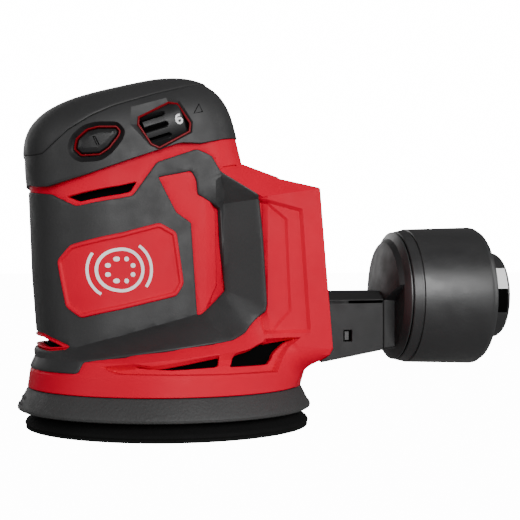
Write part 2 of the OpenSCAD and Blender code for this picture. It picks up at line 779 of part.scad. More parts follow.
module battery_leads() color("firebrick") for (s = [-1, 1])
    wire([[slot_x - 12, s * 10, contact_z + 10], [slot_x - 16, s * 10, contact_z + 11],
        [slot_x - 19, s * 11, contact_z + 16], [36, s * 12, board_z - 4], [33, s * 12, board_z + 1],
        [26, s * 12, board_z + 2.6], [8, s * 12, board_z + 6], [-1, s * 11.6, board_z + 7],
        [-3.4, s * 11, board_z + 5], [-3.4, s * 11, board_z + 1.7]], 1.3);

module motor_leads() color("#303030") for (k = [-1, 0, 1])
    wire([[-stator_d / 2 + 4, 6 * k, stator_z + stator_h + 2.8], [-stator_d / 2 - 1, 6 * k, stator_z + stator_h + 3],
        [-stator_d / 2 - 5, 6 * k, stator_z + stator_h + 8], [-bracket_r - 2, 6 * k, upper_bearing_z + 6],
        [-bracket_r - 3, 6 * k, board_z - 3], [-bracket_r - 2.6, 6 * k, board_z + 0.6]], 1.1);

module case_screws() color("#5a5a5a") at_screws() {
    cylinder(d = screw_d, h = screw_len, center = true);
    rotate([180, 0, 0]) translate([0, 0, screw_len / 2 - 2.8]) difference() {
        cylinder(d = 6.8, h = 2.8);
        translate([0, 0, 1.2]) cylinder(d = 3.4, h = 4, $fn = 6);
    }
}

// Dust box, in line behind the port

sleeve_x = port_face + 1.6;
elbow_x = sleeve_x + sleeve_len;
sleeve_rise = 6.2;
latch_x = port_face + port_len - 3.2;
latch_z = port_z + port_h / 2 - 3.6;
collar_x = elbow_x + 4.4;
cup_x = collar_x + 5;
cup_r = cup_d / 2;
cup_end_r = cup_r + cup_draft / 2;
cup_end = cup_x + cup_len;
box_z = port_z + port_h + 3.1;
sleeve_in = port_w / 2 + slide_gap;
sleeve_top = port_z + port_h + slide_gap;
filter_r = filter_d / 2;

sleeve_floor = port_z + 0.2;

// Side view of the sleeve: its floor rises towards the dust box.
module sleeve_side(o) polygon([[sleeve_x, sleeve_floor - sleeve_rise - o], [elbow_x, sleeve_floor - o],
    [elbow_x, sleeve_top + o], [sleeve_x, sleeve_top + o]]);

module inlet_sleeve() color("#2c2c2c") difference() {
    across(2 * (sleeve_in + duct_wall)) sleeve_side(duct_wall);
    across(2 * sleeve_in) sleeve_side(0);
    for (s = [-1, 1]) translate([latch_x, s * (sleeve_in + duct_wall), latch_z]) cube([3.9, 8, 5], center = true);
}

module inlet_elbow() color("#2c2c2c") difference() {
    hull() {
        translate([elbow_x, -sleeve_in - duct_wall, sleeve_floor - duct_wall])
            cube([0.1, 2 * (sleeve_in + duct_wall), sleeve_top - sleeve_floor + 2 * duct_wall]);
        on_box(collar_x - 0.1) cylinder(r = cup_r - 4.5, h = 0.1, $fn = 32);
    }
    hull() {
        translate([elbow_x - 0.1, -sleeve_in, sleeve_floor]) cube([0.1, 2 * sleeve_in, sleeve_top - sleeve_floor]);
        on_box(collar_x) cylinder(r = cup_r - 7, h = 0.1, $fn = 32);
    }
}

// A frame on the dust box's axis, z pointing to the rear.
module on_box(x) translate([x, 0, box_z]) rotate([0, 90, 0]) children();

module box_collar() color("#262626") on_box(collar_x) rotate_extrude() polygon([[cup_r - 7, 0],
    [cup_r - 4.5, 0], [cup_r, 4.4], [cup_r, 5], [cup_r - duct_wall - slide_gap, 5],
    [cup_r - duct_wall - slide_gap, 9], [cup_r - duct_wall - slide_gap - 1, 9],
    [cup_r - duct_wall - slide_gap - 1, 10.6], [cup_r - duct_wall - slide_gap, 10.6],
    [cup_r - duct_wall - slide_gap, 13], [cup_r - duct_wall - slide_gap - 2, 13],
    [cup_r - duct_wall - slide_gap - 2, 4], [cup_r - 7, 2]]);

module box_seal() color("black") on_box(collar_x + 9.05) difference() {
    cylinder(r = cup_r - duct_wall - slide_gap / 2, h = 1.5);
    translate([0, 0, -1]) cylinder(r = cup_r - duct_wall - slide_gap - 0.95, h = 4);
}

module dust_cup() color("#2a2a2a") on_box(cup_x) rotate_extrude() polygon([[cup_r - duct_wall, 0.1], [cup_r, 0.1],
    [cup_end_r, cup_len - 2.5], [cup_end_r - 0.8, cup_len - 0.6], [cup_end_r - 2.6, cup_len],
    [filter_r + slide_gap, cup_len], [filter_r + slide_gap, cup_len - 2], [cup_end_r - duct_wall - 1, cup_len - 2],
    [cup_end_r - duct_wall, cup_len - 3]]);

filter_len = 24;

module filter_frame() color("#202020") on_box(cup_end - filter_len) difference() {
    union() {
        cylinder(r = filter_r, h = filter_len + 0.1);
        translate([0, 0, filter_len + 0.1]) cylinder(r = filter_r + 1.2, h = 6);
        translate([0, 0, filter_len + 6]) cylinder(r = filter_r - 2, h = 3.5);
    }
    translate([0, 0, 1.6]) cylinder(r = filter_r - 1.6, h = filter_len + 4);
    for (k = [0:7]) rotate([0, 0, k * 45 + 8]) translate([0, -5, 4]) cube([far, 10, filter_len - 8]);
    for (k = [0:7]) rotate([0, 0, k * 45]) translate([filter_r - 8, -2.2, filter_len + 2]) cube([far, 4.4, 2.6]);
}

module filter_media() color("white") on_box(cup_end - filter_len + 1.8) linear_extrude(height = filter_len - 1)
    difference() {
        polygon([for (k = [0:71]) (k % 2 == 0 ? filter_r - 2 : filter_r - 5.5) * [cos(k * 5), sin(k * 5)]]);
        circle(filter_r - 7.5);
    }

left_housing();
right_housing();
left_grip();
right_grip();
head_cover();
palm_pad();
left_badge();
right_badge();
on_button_rim();
off_button_rim();
dial_rim();
skirt();
fan_housing();
bearing_bracket();
stator_core();
stator_insulator();
windings();
lower_bearing_race();
lower_bearing_balls();
upper_bearing_race();
upper_bearing_balls();
control_board();
board_parts();
switch_board();
speed_sensor();
terminal_block();
terminal_blades();
dust_port();
case_screws();
bracket_screws();
battery_leads();
motor_leads();
motor_shaft();
rotor_core();
cooling_fan();
dust_fan();
counterweight();
lower_bearing_cone();
upper_bearing_cone();
pad_bearing_race();
pad_bearing_balls();
pad_bearing_cone();
pad_spindle();
pad_plate();
pad_foam();
hook_face();
pad_screw();
pad_washer();
speed_dial();
on_button();
off_button();
inlet_sleeve();
inlet_elbow();
box_collar();
box_seal();
dust_cup();
filter_frame();
filter_media();
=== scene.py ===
import json
import math
import bpy
import bmesh
from mathutils import Matrix, Vector


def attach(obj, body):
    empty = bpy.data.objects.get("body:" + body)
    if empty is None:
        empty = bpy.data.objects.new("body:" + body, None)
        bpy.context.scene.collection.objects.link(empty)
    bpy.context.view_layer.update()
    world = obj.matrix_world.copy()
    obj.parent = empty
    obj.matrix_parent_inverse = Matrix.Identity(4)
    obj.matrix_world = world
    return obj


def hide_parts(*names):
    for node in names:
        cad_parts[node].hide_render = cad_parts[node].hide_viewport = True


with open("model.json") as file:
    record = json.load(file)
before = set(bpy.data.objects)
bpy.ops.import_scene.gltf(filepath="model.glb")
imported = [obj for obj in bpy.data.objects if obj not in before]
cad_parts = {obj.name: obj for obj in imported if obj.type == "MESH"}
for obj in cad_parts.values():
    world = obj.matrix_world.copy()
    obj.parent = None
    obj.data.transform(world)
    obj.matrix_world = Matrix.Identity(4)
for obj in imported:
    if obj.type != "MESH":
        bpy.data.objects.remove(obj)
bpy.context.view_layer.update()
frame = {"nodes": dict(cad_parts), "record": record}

mm = 0.001


def clamp(x, low=0.0, high=1.0):
    return max(low, min(high, x))


def mix(a, b, s):
    return a + (b - a) * s


def track(points, x):  # piecewise straight line through points
    if x <= points[0][0]:
        return points[0][1]
    for (a, b), (c, d) in zip(points, points[1:]):
        if x <= c:
            return b + (d - b) * (x - a) / (c - a)
    return points[-1][1]


class Wire:  # wraps a socket so that shader maths reads like arithmetic
    def __init__(self, maker, socket):
        self.maker = maker
        self.socket = socket

    def math(self, operation, *others):
        return self.maker.math(operation, self, *others)

    def __add__(self, other):
        return self.math("ADD", other)

    def __radd__(self, other):
        return self.math("ADD", other)

    def __sub__(self, other):
        return self.math("SUBTRACT", other)

    def __rsub__(self, other):
        return self.maker.math("SUBTRACT", other, self)

    def __mul__(self, other):
        return self.math("MULTIPLY", other)

    def __rmul__(self, other):
        return self.math("MULTIPLY", other)


class Shader:
    def __init__(self, name):
        self.material = bpy.data.materials.new(name)
        self.material.use_nodes = True
        self.tree = self.material.node_tree
        self.tree.nodes.clear()
        self.surface = self.node("ShaderNodeBsdfPrincipled")
        out = self.node("ShaderNodeOutputMaterial")
        self.tree.links.new(self.surface.outputs[0], out.inputs["Surface"])

    def node(self, kind, settings=None, **inputs):
        made = self.tree.nodes.new(kind)
        for key, value in (settings or {}).items():
            setattr(made, key, value)
        for key, value in inputs.items():
            self.put(made.inputs[key.replace("_", " ")], value)
        return made

    def put(self, socket, value):
        if isinstance(value, Wire):
            self.tree.links.new(value.socket, socket)
        else:
            socket.default_value = value

    def wire(self, made, output=0):
        return Wire(self, made.outputs[output])

    def math(self, operation, *values, clampIt=False):
        made = self.node("ShaderNodeMath", {"operation": operation, "use_clamp": clampIt})
        for socket, value in zip(made.inputs, values):
            self.put(socket, value)
        return self.wire(made)

    def place(self):  # object coordinates, in metres
        return self.wire(self.node("ShaderNodeTexCoord"), "Object")

    def noise(self, scale, detail=3.0, rough=0.5):
        return self.wire(self.node("ShaderNodeTexNoise", Vector=self.place(), Scale=scale, Detail=detail,
                                   Roughness=rough))

    def fit(self, value, low, high, outLow, outHigh):
        share = self.math("MULTIPLY", value - low, 1 / (high - low), clampIt=True)
        return share * (outHigh - outLow) + outLow

    def blend(self, factor, a, b):
        made = self.node("ShaderNodeMix", {"data_type": "RGBA"})
        self.put(made.inputs["Factor"], factor)
        self.put(made.inputs[6], a)
        self.put(made.inputs[7], b)
        return self.wire(made, 2)

    def bump(self, height, strength, distance):
        made = self.node("ShaderNodeBump", Height=height)
        made.inputs["Strength"].default_value = strength
        made.inputs["Distance"].default_value = distance
        self.tree.links.new(made.outputs[0], self.surface.inputs["Normal"])

    def set(self, **values):
        for key, value in values.items():
            self.put(self.surface.inputs[key.replace("_", " ")], value)
        return self


def plastic(name, colour, rough, grain=900.0, depth=0.00006, strength=0.35, tone=0.12, shine=0.35):
    # moulded plastic or rubber: fine grain, slight changes of tone and gloss
    s = Shader(name)
    wide = s.noise(38.0, 3.0)
    dim = tuple(c * (1 - tone) for c in colour) + (1.0,)
    light = tuple(c * (1 + tone) for c in colour) + (1.0,)
    s.set(Base_Color=s.blend(s.fit(wide, 0.3, 0.7, 0.0, 1.0), dim, light))
    s.set(Roughness=s.fit(s.noise(160.0, 2.0), 0.3, 0.7, rough - 0.06, rough + 0.06))
    s.set(Specular_IOR_Level=shine)
    s.bump(s.noise(grain, 2.0, 0.6), strength, depth)
    return s.material


def metal(name, colour, rough):
    s = Shader(name)
    s.set(Base_Color=colour + (1.0,), Metallic=1.0)
    s.set(Roughness=s.fit(s.noise(220.0, 2.0), 0.3, 0.7, rough - 0.05, rough + 0.05))
    return s.material


material = {
    "red": plastic("red", (0.57, 0.0, 0.022), 0.5, 1400.0, 0.00005, 0.3, tone=0.05, shine=0.08),
    "overmould": plastic("overmould", (0.019, 0.019, 0.0195), 0.55, 1500.0, 0.00008, 0.45, shine=0.4),
    "trim": plastic("trim", (0.15, 0.0, 0.004), 0.4, 900.0, 0.00002, 0.2, shine=0.12),
    "skirt": plastic("skirt", (0.034, 0.034, 0.034), 0.6, 1000.0, 0.0004, 0.9),
    "case_black": plastic("case_black", (0.02, 0.02, 0.021), 0.45),
    "steel": metal("steel", (0.45, 0.46, 0.47), 0.35),
    "insulator": plastic("insulator", (0.7, 0.66, 0.55), 0.5),
    "copper": metal("copper", (0.72, 0.31, 0.14), 0.3),
    "bearing": metal("bearing", (0.7, 0.7, 0.72), 0.15),
    "board": plastic("board", (0.01, 0.12, 0.05), 0.35),
    "brass": metal("brass", (0.75, 0.55, 0.2), 0.3),
    "screw": metal("screw", (0.25, 0.25, 0.26), 0.35),
    "wire_red": plastic("wire_red", (0.5, 0.02, 0.02), 0.4),
    "wire_black": plastic("wire_black", (0.02, 0.02, 0.02), 0.4),
    "cast": metal("cast", (0.25, 0.24, 0.23), 0.6),
    "foam": plastic("foam", (0.004, 0.004, 0.004), 0.85, 700.0, 0.0003, 0.8, shine=0.1),
    "hook": plastic("hook", (0.006, 0.006, 0.006), 0.9, 1800.0, 0.0006, 1.0, shine=0.1),
    "control": plastic("control", (0.01, 0.01, 0.0105), 0.45, shine=0.3),
    "box_black": plastic("box_black", (0.015, 0.015, 0.0155), 0.4, 1600.0, 0.00004, 0.3, tone=0.05,
                         shine=0.7),
    "seal": plastic("seal", (0.01, 0.01, 0.01), 0.6),
    "paper": plastic("paper", (0.72, 0.7, 0.64), 0.9, 600.0, 0.0002, 0.6),
}
satin = plastic("satin", (0.0145, 0.0145, 0.015), 0.5, 1600.0, 0.00004, 0.3, tone=0.05, shine=0.3)
white = plastic("white", (0.8, 0.8, 0.8), 0.5)
dark = plastic("dark", (0.0015, 0.0015, 0.0015), 0.8, shine=0.02)
slotOf = {row["node"]: row["material_slot"] for row in frame["record"]["subparts"]}
for node, obj in frame["nodes"].items():
    obj.data.materials.clear()
    obj.data.materials.append(material[slotOf[node]])


def keep(bm, name, slotName, body="housing", stands=(), look=None, sharp=32, weld=0.0):
    # turns a mesh drawn in millimetres into a piece that rides on a body
    if weld:
        bmesh.ops.remove_doubles(bm, verts=bm.verts[:], dist=weld)
    bmesh.ops.recalc_face_normals(bm, faces=bm.faces[:])
    bmesh.ops.scale(bm, vec=(mm, mm, mm), verts=bm.verts[:])
    for face in bm.faces:
        face.smooth = True
    for edge in bm.edges:
        edge.smooth = not edge.is_manifold or edge.calc_face_angle(0) < math.radians(sharp)
    mesh = bpy.data.meshes.new(name)
    bm.to_mesh(mesh)
    bm.free()
    obj = bpy.data.objects.new(name, mesh)
    bpy.context.scene.collection.objects.link(obj)
    mesh.materials.append(look or material[slotName])
    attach(obj, body)
    if stands:
        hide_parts(*stands)
    return obj


def mirrored(bm):  # a copy on the other side of the middle plane
    other = bm.copy()
    bmesh.ops.scale(other, vec=(1, -1, 1), verts=other.verts[:])
    bmesh.ops.reverse_faces(other, faces=other.faces[:])
    return other


def sheet(columns, rows, point):
    # a grid bent to shape: point(column value, row value) gives each place
    bm = bmesh.new()
    nu, nv = len(columns) - 1, len(rows) - 1
    bmesh.ops.create_grid(bm, x_segments=nu, y_segments=nv, size=1)
    for v in bm.verts:
        i = round((v.co.x + 1) / 2 * nu)
        j = round((v.co.y + 1) / 2 * nv)
        v.co = point(columns[i], rows[j])
    return bm


def steps(a, b, n):
    return [a + (b - a) * i / n for i in range(n + 1)]


def spun(profile, turns=96, axis="Z", centre=(0, 0, 0)):
    # profile of (radius, height) swept round an axis; a closed profile gives a closed ring
    bm = bmesh.new()
    verts = [bm.verts.new((r, 0, h)) for r, h in profile]
    edges = [bm.edges.new((a, b)) for a, b in zip(verts, verts[1:])]
    bmesh.ops.spin(bm, geom=verts + edges, cent=(0, 0, 0), axis=(0, 0, 1), angle=2 * math.pi, steps=turns)
    bmesh.ops.remove_doubles(bm, verts=bm.verts[:], dist=0.001)
    if axis == "X":
        bmesh.ops.rotate(bm, cent=(0, 0, 0), matrix=Matrix.Rotation(math.pi / 2, 3, "Y"), verts=bm.verts[:])
    bmesh.ops.translate(bm, vec=centre, verts=bm.verts[:])
    return bm


def area(points):
    return sum(a[0] * b[1] - b[0] * a[1] for a, b in zip(points, points[1:] + points[:1])) / 2


def inset(points, d):  # moves every side of a counterclockwise outline inwards by d
    out = []
    for i, (x, z) in enumerate(points):
        px, pz = points[i - 1]
        nx, nz = points[(i + 1) % len(points)]
        a = Vector((x - px, z - pz)).normalized()
        b = Vector((nx - x, nz - z)).normalized()
        m = Vector((-a.y - b.y, a.x + b.x))
        m = m / max(0.35, m.dot(Vector((-a.y, a.x))))
        out.append((x + m.x * d, z + m.y * d))
    return out


def soft(points, r, n=4):  # rounds the corners of an outline
    if area(points) < 0:
        points = points[::-1]
    out = []
    for i, p in enumerate(points):
        p = Vector(p)
        a = Vector(points[i - 1]) - p
        b = Vector(points[(i + 1) % len(points)]) - p
        cut = min(r, a.length * 0.45, b.length * 0.45)
        start, end = p + a.normalized() * cut, p + b.normalized() * cut
        for k in range(n + 1):
            s = k / n
            q = start * (1 - s) ** 2 + p * 2 * s * (1 - s) + end * s ** 2
            out.append((q.x, q.y))
    return out


def panel(outline, rings, holes=(), step=3.0):
    # flat sheet in (t, z) with shaped rims; each ring is an (inset, lift), the lift is the third coordinate
    bm = bmesh.new()
    fill = []
    for k, loop in enumerate([outline, *holes]):
        if area(loop) < 0:
            loop = loop[::-1]
        way = 1 if k == 0 else -1
        verts = [bm.verts.new((x, z, rings[0][1])) for x, z in inset(loop, rings[0][0] * way)]
        edges = [bm.edges.new((verts[i - 1], verts[i])) for i in range(len(verts))]
        for depth, lift in rings[1:]:
            place = {}
            for v, (x, z) in zip(verts, inset(loop, depth * way)):
                place[(round(v.co.x, 5), round(v.co.y, 5))] = (x, z, lift)
            made = bmesh.ops.extrude_edge_only(bm, edges=edges)["geom"]
            edges = [g for g in made if isinstance(g, bmesh.types.BMEdge) and not
                     (set(g.verts) & set(verts))]
            order = {}
            for g in made:
                if isinstance(g, bmesh.types.BMVert):
                    order[(round(g.co.x, 5), round(g.co.y, 5))] = g
            verts = [order[(round(v.co.x, 5), round(v.co.y, 5))] for v in verts]
            for g in verts:
                g.co = place[(round(g.co.x, 5), round(g.co.y, 5))]
        fill += edges
    bmesh.ops.triangle_fill(bm, edges=fill, use_beauty=True, use_dissolve=False, normal=(0, 0, 1))
    low = [min(v.co[i] for v in bm.verts) for i in range(2)]
    high = [max(v.co[i] for v in bm.verts) for i in range(2)]
    for i, no in ((0, (1, 0, 0)), (1, (0, 1, 0))):
        n = int((high[i] - low[i]) / step)
        for k in range(1, n + 1):
            co = [0, 0, 0]
            co[i] = low[i] + (high[i] - low[i]) * k / (n + 1)
            geom = bm.verts[:] + bm.edges[:] + bm.faces[:]
            bmesh.ops.bisect_plane(bm, geom=geom, dist=0.0005, plane_co=co, plane_no=no)
    bmesh.ops.recalc_face_normals(bm, faces=bm.faces[:])
    return bm


def drape(bm, point, thick=1.6, relief=None):
    # gives a flat panel thickness, then lays it on a surface
    made = bmesh.ops.extrude_face_region(bm, geom=bm.faces[:], use_keep_orig=True)["geom"]
    under = [g for g in made if isinstance(g, bmesh.types.BMVert)]
    for v in under:
        v.co.z = min(v.co.z, 0) - thick
    for v in bm.verts:
        t, z, lift = v.co
        e = 0.4
        p = point(t, z)
        du = point(t + e, z) - point(t - e, z)
        dz = point(t, z + e) - point(t, z - e)
        n = du.cross(dz)
        n.normalize()
        extra = relief(t, z) if relief else 0.0
        v.co = p + n * (lift + extra)
    return bm


def depthIn(points, x, z):  # signed distance to a closed outline, positive inside
    best = 1e9
    inside = False
    for (ax, az), (bx, bz) in zip(points, points[1:] + points[:1]):
        dx, dz = bx - ax, bz - az
        s = clamp(((x - ax) * dx + (z - az) * dz) / max(dx * dx + dz * dz, 1e-9))
        best = min(best, math.hypot(x - ax - dx * s, z - az - dz * s))
        if (az > z) != (bz > z) and x < ax + dx * (z - az) / dz:
            inside = not inside
    return best if inside else -best


def score(bm, points, closed=True):
    # cuts a flat panel along an outline so that a crease can form there
    ends = points[1:] + points[:1] if closed else points[1:]
    for (ax, az), (bx, bz) in zip(points, ends):
        low = (min(ax, bx) - 0.2, min(az, bz) - 0.2)
        high = (max(ax, bx) + 0.2, max(az, bz) + 0.2)
        faces = []
        for face in bm.faces:
            xs = [v.co.x for v in face.verts]
            zs = [v.co.y for v in face.verts]
            if max(xs) > low[0] and min(xs) < high[0] and max(zs) > low[1] and min(zs) < high[1]:
                faces.append(face)
        geom = set(faces)
        for face in faces:
            geom.update(face.edges)
            geom.update(face.verts)
        bmesh.ops.bisect_plane(bm, geom=list(geom), dist=0.0005, plane_co=(ax, az, 0),
                               plane_no=(az - bz, bx - ax, 0))


def sunk(features, x, z):
    total = 0.0
    for f in features:
        total -= f["depth"] * clamp(depthIn(f["outline"], x, z) / f["wall"])
    return total


# body surface on the left: t runs from the nose along the flank, z is the height
grip = {
    "start": -24.0, "length": 52.0, "power": 2.3, "half": 35.0, "ringTop": 31.0,
    "front": [(17.5, -59.6), (26, -58.4), (33, -57.2), (36, -55.6), (42.5, -56.0), (66, -57.8),
              (105, -59.4), (115, -60.3)],
    "crease": [(-76, 34.5), (-60, 34.8), (-50, 35.4), (-38.0, 36.7), (-23.4, 40.7), (8.8, 49.4),
               (21.5, 59.6), (38.1, 52.2), (50, 37.5), (53, 34.6), (70, 34.6)],
    "flank": [(-30, 35.0), (12.5, 35.0), (16.5, 33.4), (20.6, 29.8), (21.4, 29.9), (37, 37.4), (38.5, 38.0),
              (70, 38.0)],
    "ring": [(17.5, 60.3), (25, 59.2), (26, 58.8), (31, 56.6)],
    "ringWide": [(17.5, 60.3), (31, 60.0)],
    "middle": [(15, 95.5), (36, 98.6), (62, 101)],
    "lower": [(19, 109.8), (36, 99.2), (61.4, 102.9), (70, 102.9)],
    "lowerY": [(19, 35.0), (36, 38.0), (70, 38.0)],
    "upper": [(19, 111.6), (29.5, 113.8), (44, 107.9), (44.5, 107.3), (61.4, 103.3), (70, 103.3)],
    "upperY": [(19, 34.5), (29.5, 27.0), (44, 33.0), (61.4, 37.8), (70, 37.8)],
    "flare": [(17.6, 0.0), (25, 0.22), (28, 0.46), (31, 0.88), (34.6, 1.0)],
}
frontT = grip["start"] - grip["length"]


def neckCentre(z):
    return 14.8 - (z - 114) * 0.253


def flankWidth(t, z):
    if t < 13:
        return 35.0
    base = track(grip["flank"], t)
    if t < 14.8 and z > 100:
        return 35.0
    top = track(grip["upper"], t)
    if z > top and t < 30:
        turn = clamp((t - neckCentre(z)) / 16, 0, 0.99)
        return 19 + 16 * math.sqrt(1 - turn * turn)
    low = track(grip["lower"], t)
    if t < 19:
        return mix(base, 35.0, clamp((z - track(grip["middle"], t)) / 6))
    if z > low:
        share = clamp((z - low) / max(top - low, 0.1))
        return mix(track(grip["lowerY"], t), track(grip["upperY"], t), share)
    middle = track(grip["middle"], t)
    return mix(base, track(grip["lowerY"], t), clamp((z - middle) / max(low - middle, 0.1)))


def plan(t, z):
    if t >= grip["start"]:
        return t, flankWidth(t, z)
    reach = grip["start"] - track(grip["front"], z)
    turn = (grip["start"] - t) / grip["length"] * math.pi / 2
    k = 2 / grip["power"]
    return grip["start"] - reach * math.sin(turn) ** k, grip["half"] * max(math.cos(turn), 0) ** k


def bodyPoint(t, z):
    if t < frontT:
        p = bodyPoint(2 * frontT - t, z)
        return Vector((p.x, -p.y, p.z))
    if t > 46 and z < 34.6:
        way = math.atan2(38, t)
        out = track(grip["ringWide"], z)
        s = track(grip["flare"], z)
        return Vector((mix(out * math.cos(way), t, s), -mix(out * math.sin(way), 38, s), z))
    x, y = plan(t, z)
    out, way = math.hypot(x, y), math.atan2(y, x)
    crease = track(grip["crease"], t)
    wide = clamp((t - 26) / 20)
    if z < grip["ringTop"]:
        out = mix(track(grip["ring"], z), track(grip["ringWide"], z), wide)
    elif z < crease:
        s = (z - grip["ringTop"]) / (crease - grip["ringTop"])
        foot = mix(track(grip["ring"], grip["ringTop"]), 60.0, wide)
        out = mix(foot, out, s)
    return Vector((out * math.cos(way), -out * math.sin(way), z))


gripOutline = [(frontT, 102.1), (-50.8, 99.8), (-39.0, 94.8), (-18.1, 99.3), (-8.1, 113.3),
               (8.7, 119.1), (15.0, 116.4), (18.9, 109.8), (34.7, 100.1), (36.4, 82.7), (38.1, 53.7),
               (37.5, 51.0), (16.4, 39.2), (-30.5, 30.9), (-31.8, 26.3), (frontT, 26.0), (frontT, 35.2),
               (-56, 34.4), (-45.6, 35.3), (-44.2, 36.9), (-52, 39.3), (-62, 41.5), (frontT, 41.7)]
stripOutline = [(-7.4, 106.9), (6.3, 109.7), (8.5, 105.8), (9.0, 100.1), (19.2, 94.0), (21.0, 64.3),
                (21.5, 59.5), (10.3, 49.8), (8.9, 49.4), (6.3, 88.1), (0.1, 92.5)]
lipOutline = [(-45.0, 36.7), (-46.0, 35.7), (-56, 34.9), (frontT, 35.7), (2 * frontT + 56, 34.9),
              (2 * frontT + 46.0, 35.7), (2 * frontT + 45.0, 36.7), (2 * frontT + 52, 38.8),
              (2 * frontT + 62, 40.9), (frontT, 41.1), (-62, 40.9), (-52, 38.8)]

# red shell
ventSide = [(-43.4, 98.6), (-16.4, 104.9), (-19.1, 100.7), (-37.5, 96.5)]
shell = {
    "outline": [(frontT, 17.7), (frontT, 35.2), (-57, 34.8), (-47.5, 35.6), (-46, 36.8), (-53, 38.6),
                (-62, 40.6), (frontT, 40.9), (frontT, 107.5), (-50.8, 106.6), (-7.0, 119.2),
                (12.5, 124.3), (25.4, 127.3), (28.9, 114.2), (29.6, 113.7), (43.9, 107.9),
                (44.5, 107.2), (61.4, 103.2), (67, 34.6), (67, 17.7)],
    "slots": [[(-13.0, 30.2), (10.8, 34.2), (9.4, 30.2), (-3.0, 29.4)],
              [(15.4, 34.4), (23.3, 36.6), (30.0, 38.0), (49.4, 38.2), (31.8, 29.7), (13.4, 30.0)]],
    "rings": [(0, -1.2), (0, -0.3), (0.3, 0)],
    "louvre": [(-23.9, 29.6), (19.8, 35.2), (27, 36.6), (33, 39.6), (52.9, 39.8), (36.8, 25.4),
               (26.9, 25.8), (-18.1, 26.8)],
    "deep": [(33, 98.8), (38, 98.2), (53.6, 94.2), (57.3, 41.6), (33, 41.4)],
    "fold": [(13.6, 97.4), (16.6, 93.0), (17.4, 62.0), (11.6, 51.2), (24.0, 52.0), (24.0, 97.0)],
    "deeper": [(33, 98.2), (38.6, 97.0), (47.2, 90.1), (49, 50.9), (41, 42.2), (33, 42.2)],
}
shellFeatures = [
    {"outline": shell["louvre"], "wall": 1.3, "depth": 2.6},
    {"outline": shell["deep"], "wall": 1.4, "depth": 1.1},
    {"outline": shell["deeper"], "wall": 1.1, "depth": 0.7},
    {"outline": shell["fold"], "wall": 1.6, "depth": 1.5},
]
for f in shellFeatures:
    if area(f["outline"]) < 0:
        f["outline"].reverse()


def shellRelief(t, z):
    under = min(depthIn(gripOutline, t, z), -depthIn(stripOutline, t, z))
    return sunk(shellFeatures, t, z) - 0.9 * clamp((under - 0.5) / 0.5)


creases = [
    [(16.5, 54), (16.5, 96)],
    [(frontT, 25.0), (46, 25.0)],
    [(frontT, 31.0), (44, 31.0)],
    grip["crease"][3:10],
    grip["middle"],
    grip["lower"][:3],
    [(20.8, 56), (20.8, 100)],
    [(12.5, 52), (12.5, 96)],
    [(38.5, 50), (38.5, 100)],
]


def creased(bm):
    for line in creases:
        score(bm, line, False)
    return bm


cuts = [soft(ventSide, 0.8, 2)] + [soft(s, 0.8, 2) for s in shell["slots"]]
half = creased(panel(soft(shell["outline"], 0.4, 1), shell["rings"], cuts, 2.4))
for f in shellFeatures:
    score(half, f["outline"])
    score(half, inset(f["outline"], f["wall"]))
drape(half, bodyPoint, 1.3, shellRelief)
other = mirrored(half)
keep(half, "leftShell", "red", stands=["left_housing"], sharp=24)
keep(other, "rightShell", "red", stands=["right_housing"], sharp=24)
print("shell made")

# painted shade: a near-black sheet inside the shell stands for the shade seen through the vents and slots
ventShadeOutline = [(frontT, 27), (frontT, 103), (-50, 104), (8, 118), (30, 98), (47, 96), (53, 90), (53, 35),
         (45, 34.8), (45, 26)]
half = drape(panel(ventShadeOutline, [(0, 0)], (), 5.0), bodyPoint, 0.4, lambda t, z: -4.6)
other = mirrored(half)
keep(half, "leftVentShade", "case_black", look=dark)
keep(other, "rightVentShade", "case_black", look=dark)

# rubber grip, with the red lip of the front vent
rim = [(0, -0.6), (0.05, 0.15), (0.3, 0.45), (0.8, 0.6)]
gripPanel = panel(soft(gripOutline, 1.2, 3), rim, [soft(stripOutline, 0.8, 3)], 2.4)
half = drape(creased(gripPanel), bodyPoint, 0.6)
other = mirrored(half)
keep(half, "leftGrip", "overmould", stands=["left_grip"], sharp=24)
keep(other, "rightGrip", "overmould", stands=["right_grip"], sharp=24)
lip = panel(soft(lipOutline, 0.6, 2), [(0, -1.8), (0, 0.5), (0.25, 0.8), (0.6, 0.8)],
            [inset(soft(lipOutline[::-1], 0.6, 2), 0.95)], 2.4)
keep(drape(lip, bodyPoint, 0.5), "ventLip", "red")

# raised badge with a plain disc mark
badgeOutline = [(-48.4, 72.3), (-41.8, 78.8), (-7.0, 88.1), (0.1, 84.1), (3.2, 62.6), (0.1, 57.4),
                (-37.9, 48.4), (-44.9, 53.1)]
badgeRings = [(0, -0.4), (0, 0.7), (0.4, 1.4), (0.9, 1.6), (1.5, 1.5), (2.1, 0.8), (2.6, 0.75)]
half = drape(panel(soft(badgeOutline, 1.6, 4), badgeRings, (), 2.4), bodyPoint, 0.4)
other = mirrored(half)
keep(half, "leftBadge", "red", stands=["left_badge"])
keep(other, "rightBadge", "red", stands=["right_badge"])


def decal(pieces, point, lift):
    # flat strokes laid on a surface; each is a list of points and a width
    bm = bmesh.new()
    for points, width in pieces:
        n = len(points)
        grid = bmesh.new()
        bmesh.ops.create_grid(grid, x_segments=n - 1, y_segments=1, size=1)
        for v in grid.verts:
            i = round((v.co.x + 1) / 2 * (n - 1))
            a = Vector(points[max(i - 1, 0)])
            b = Vector(points[min(i + 1, n - 1)])
            if points[0] == points[-1] and i in (0, n - 1):
                a, b = Vector(points[n - 2]), Vector(points[1])
            d = (b - a).normalized()
            c = Vector(points[i]) + Vector((-d.y, d.x)) * width * v.co.y / 2
            v.co = (c.x, c.y, lift)
        mesh = bpy.data.meshes.new("part")
        grid.to_mesh(mesh)
        grid.free()
        bm.from_mesh(mesh)
        bpy.data.meshes.remove(mesh)
    return drape(bm, point, 0.1)


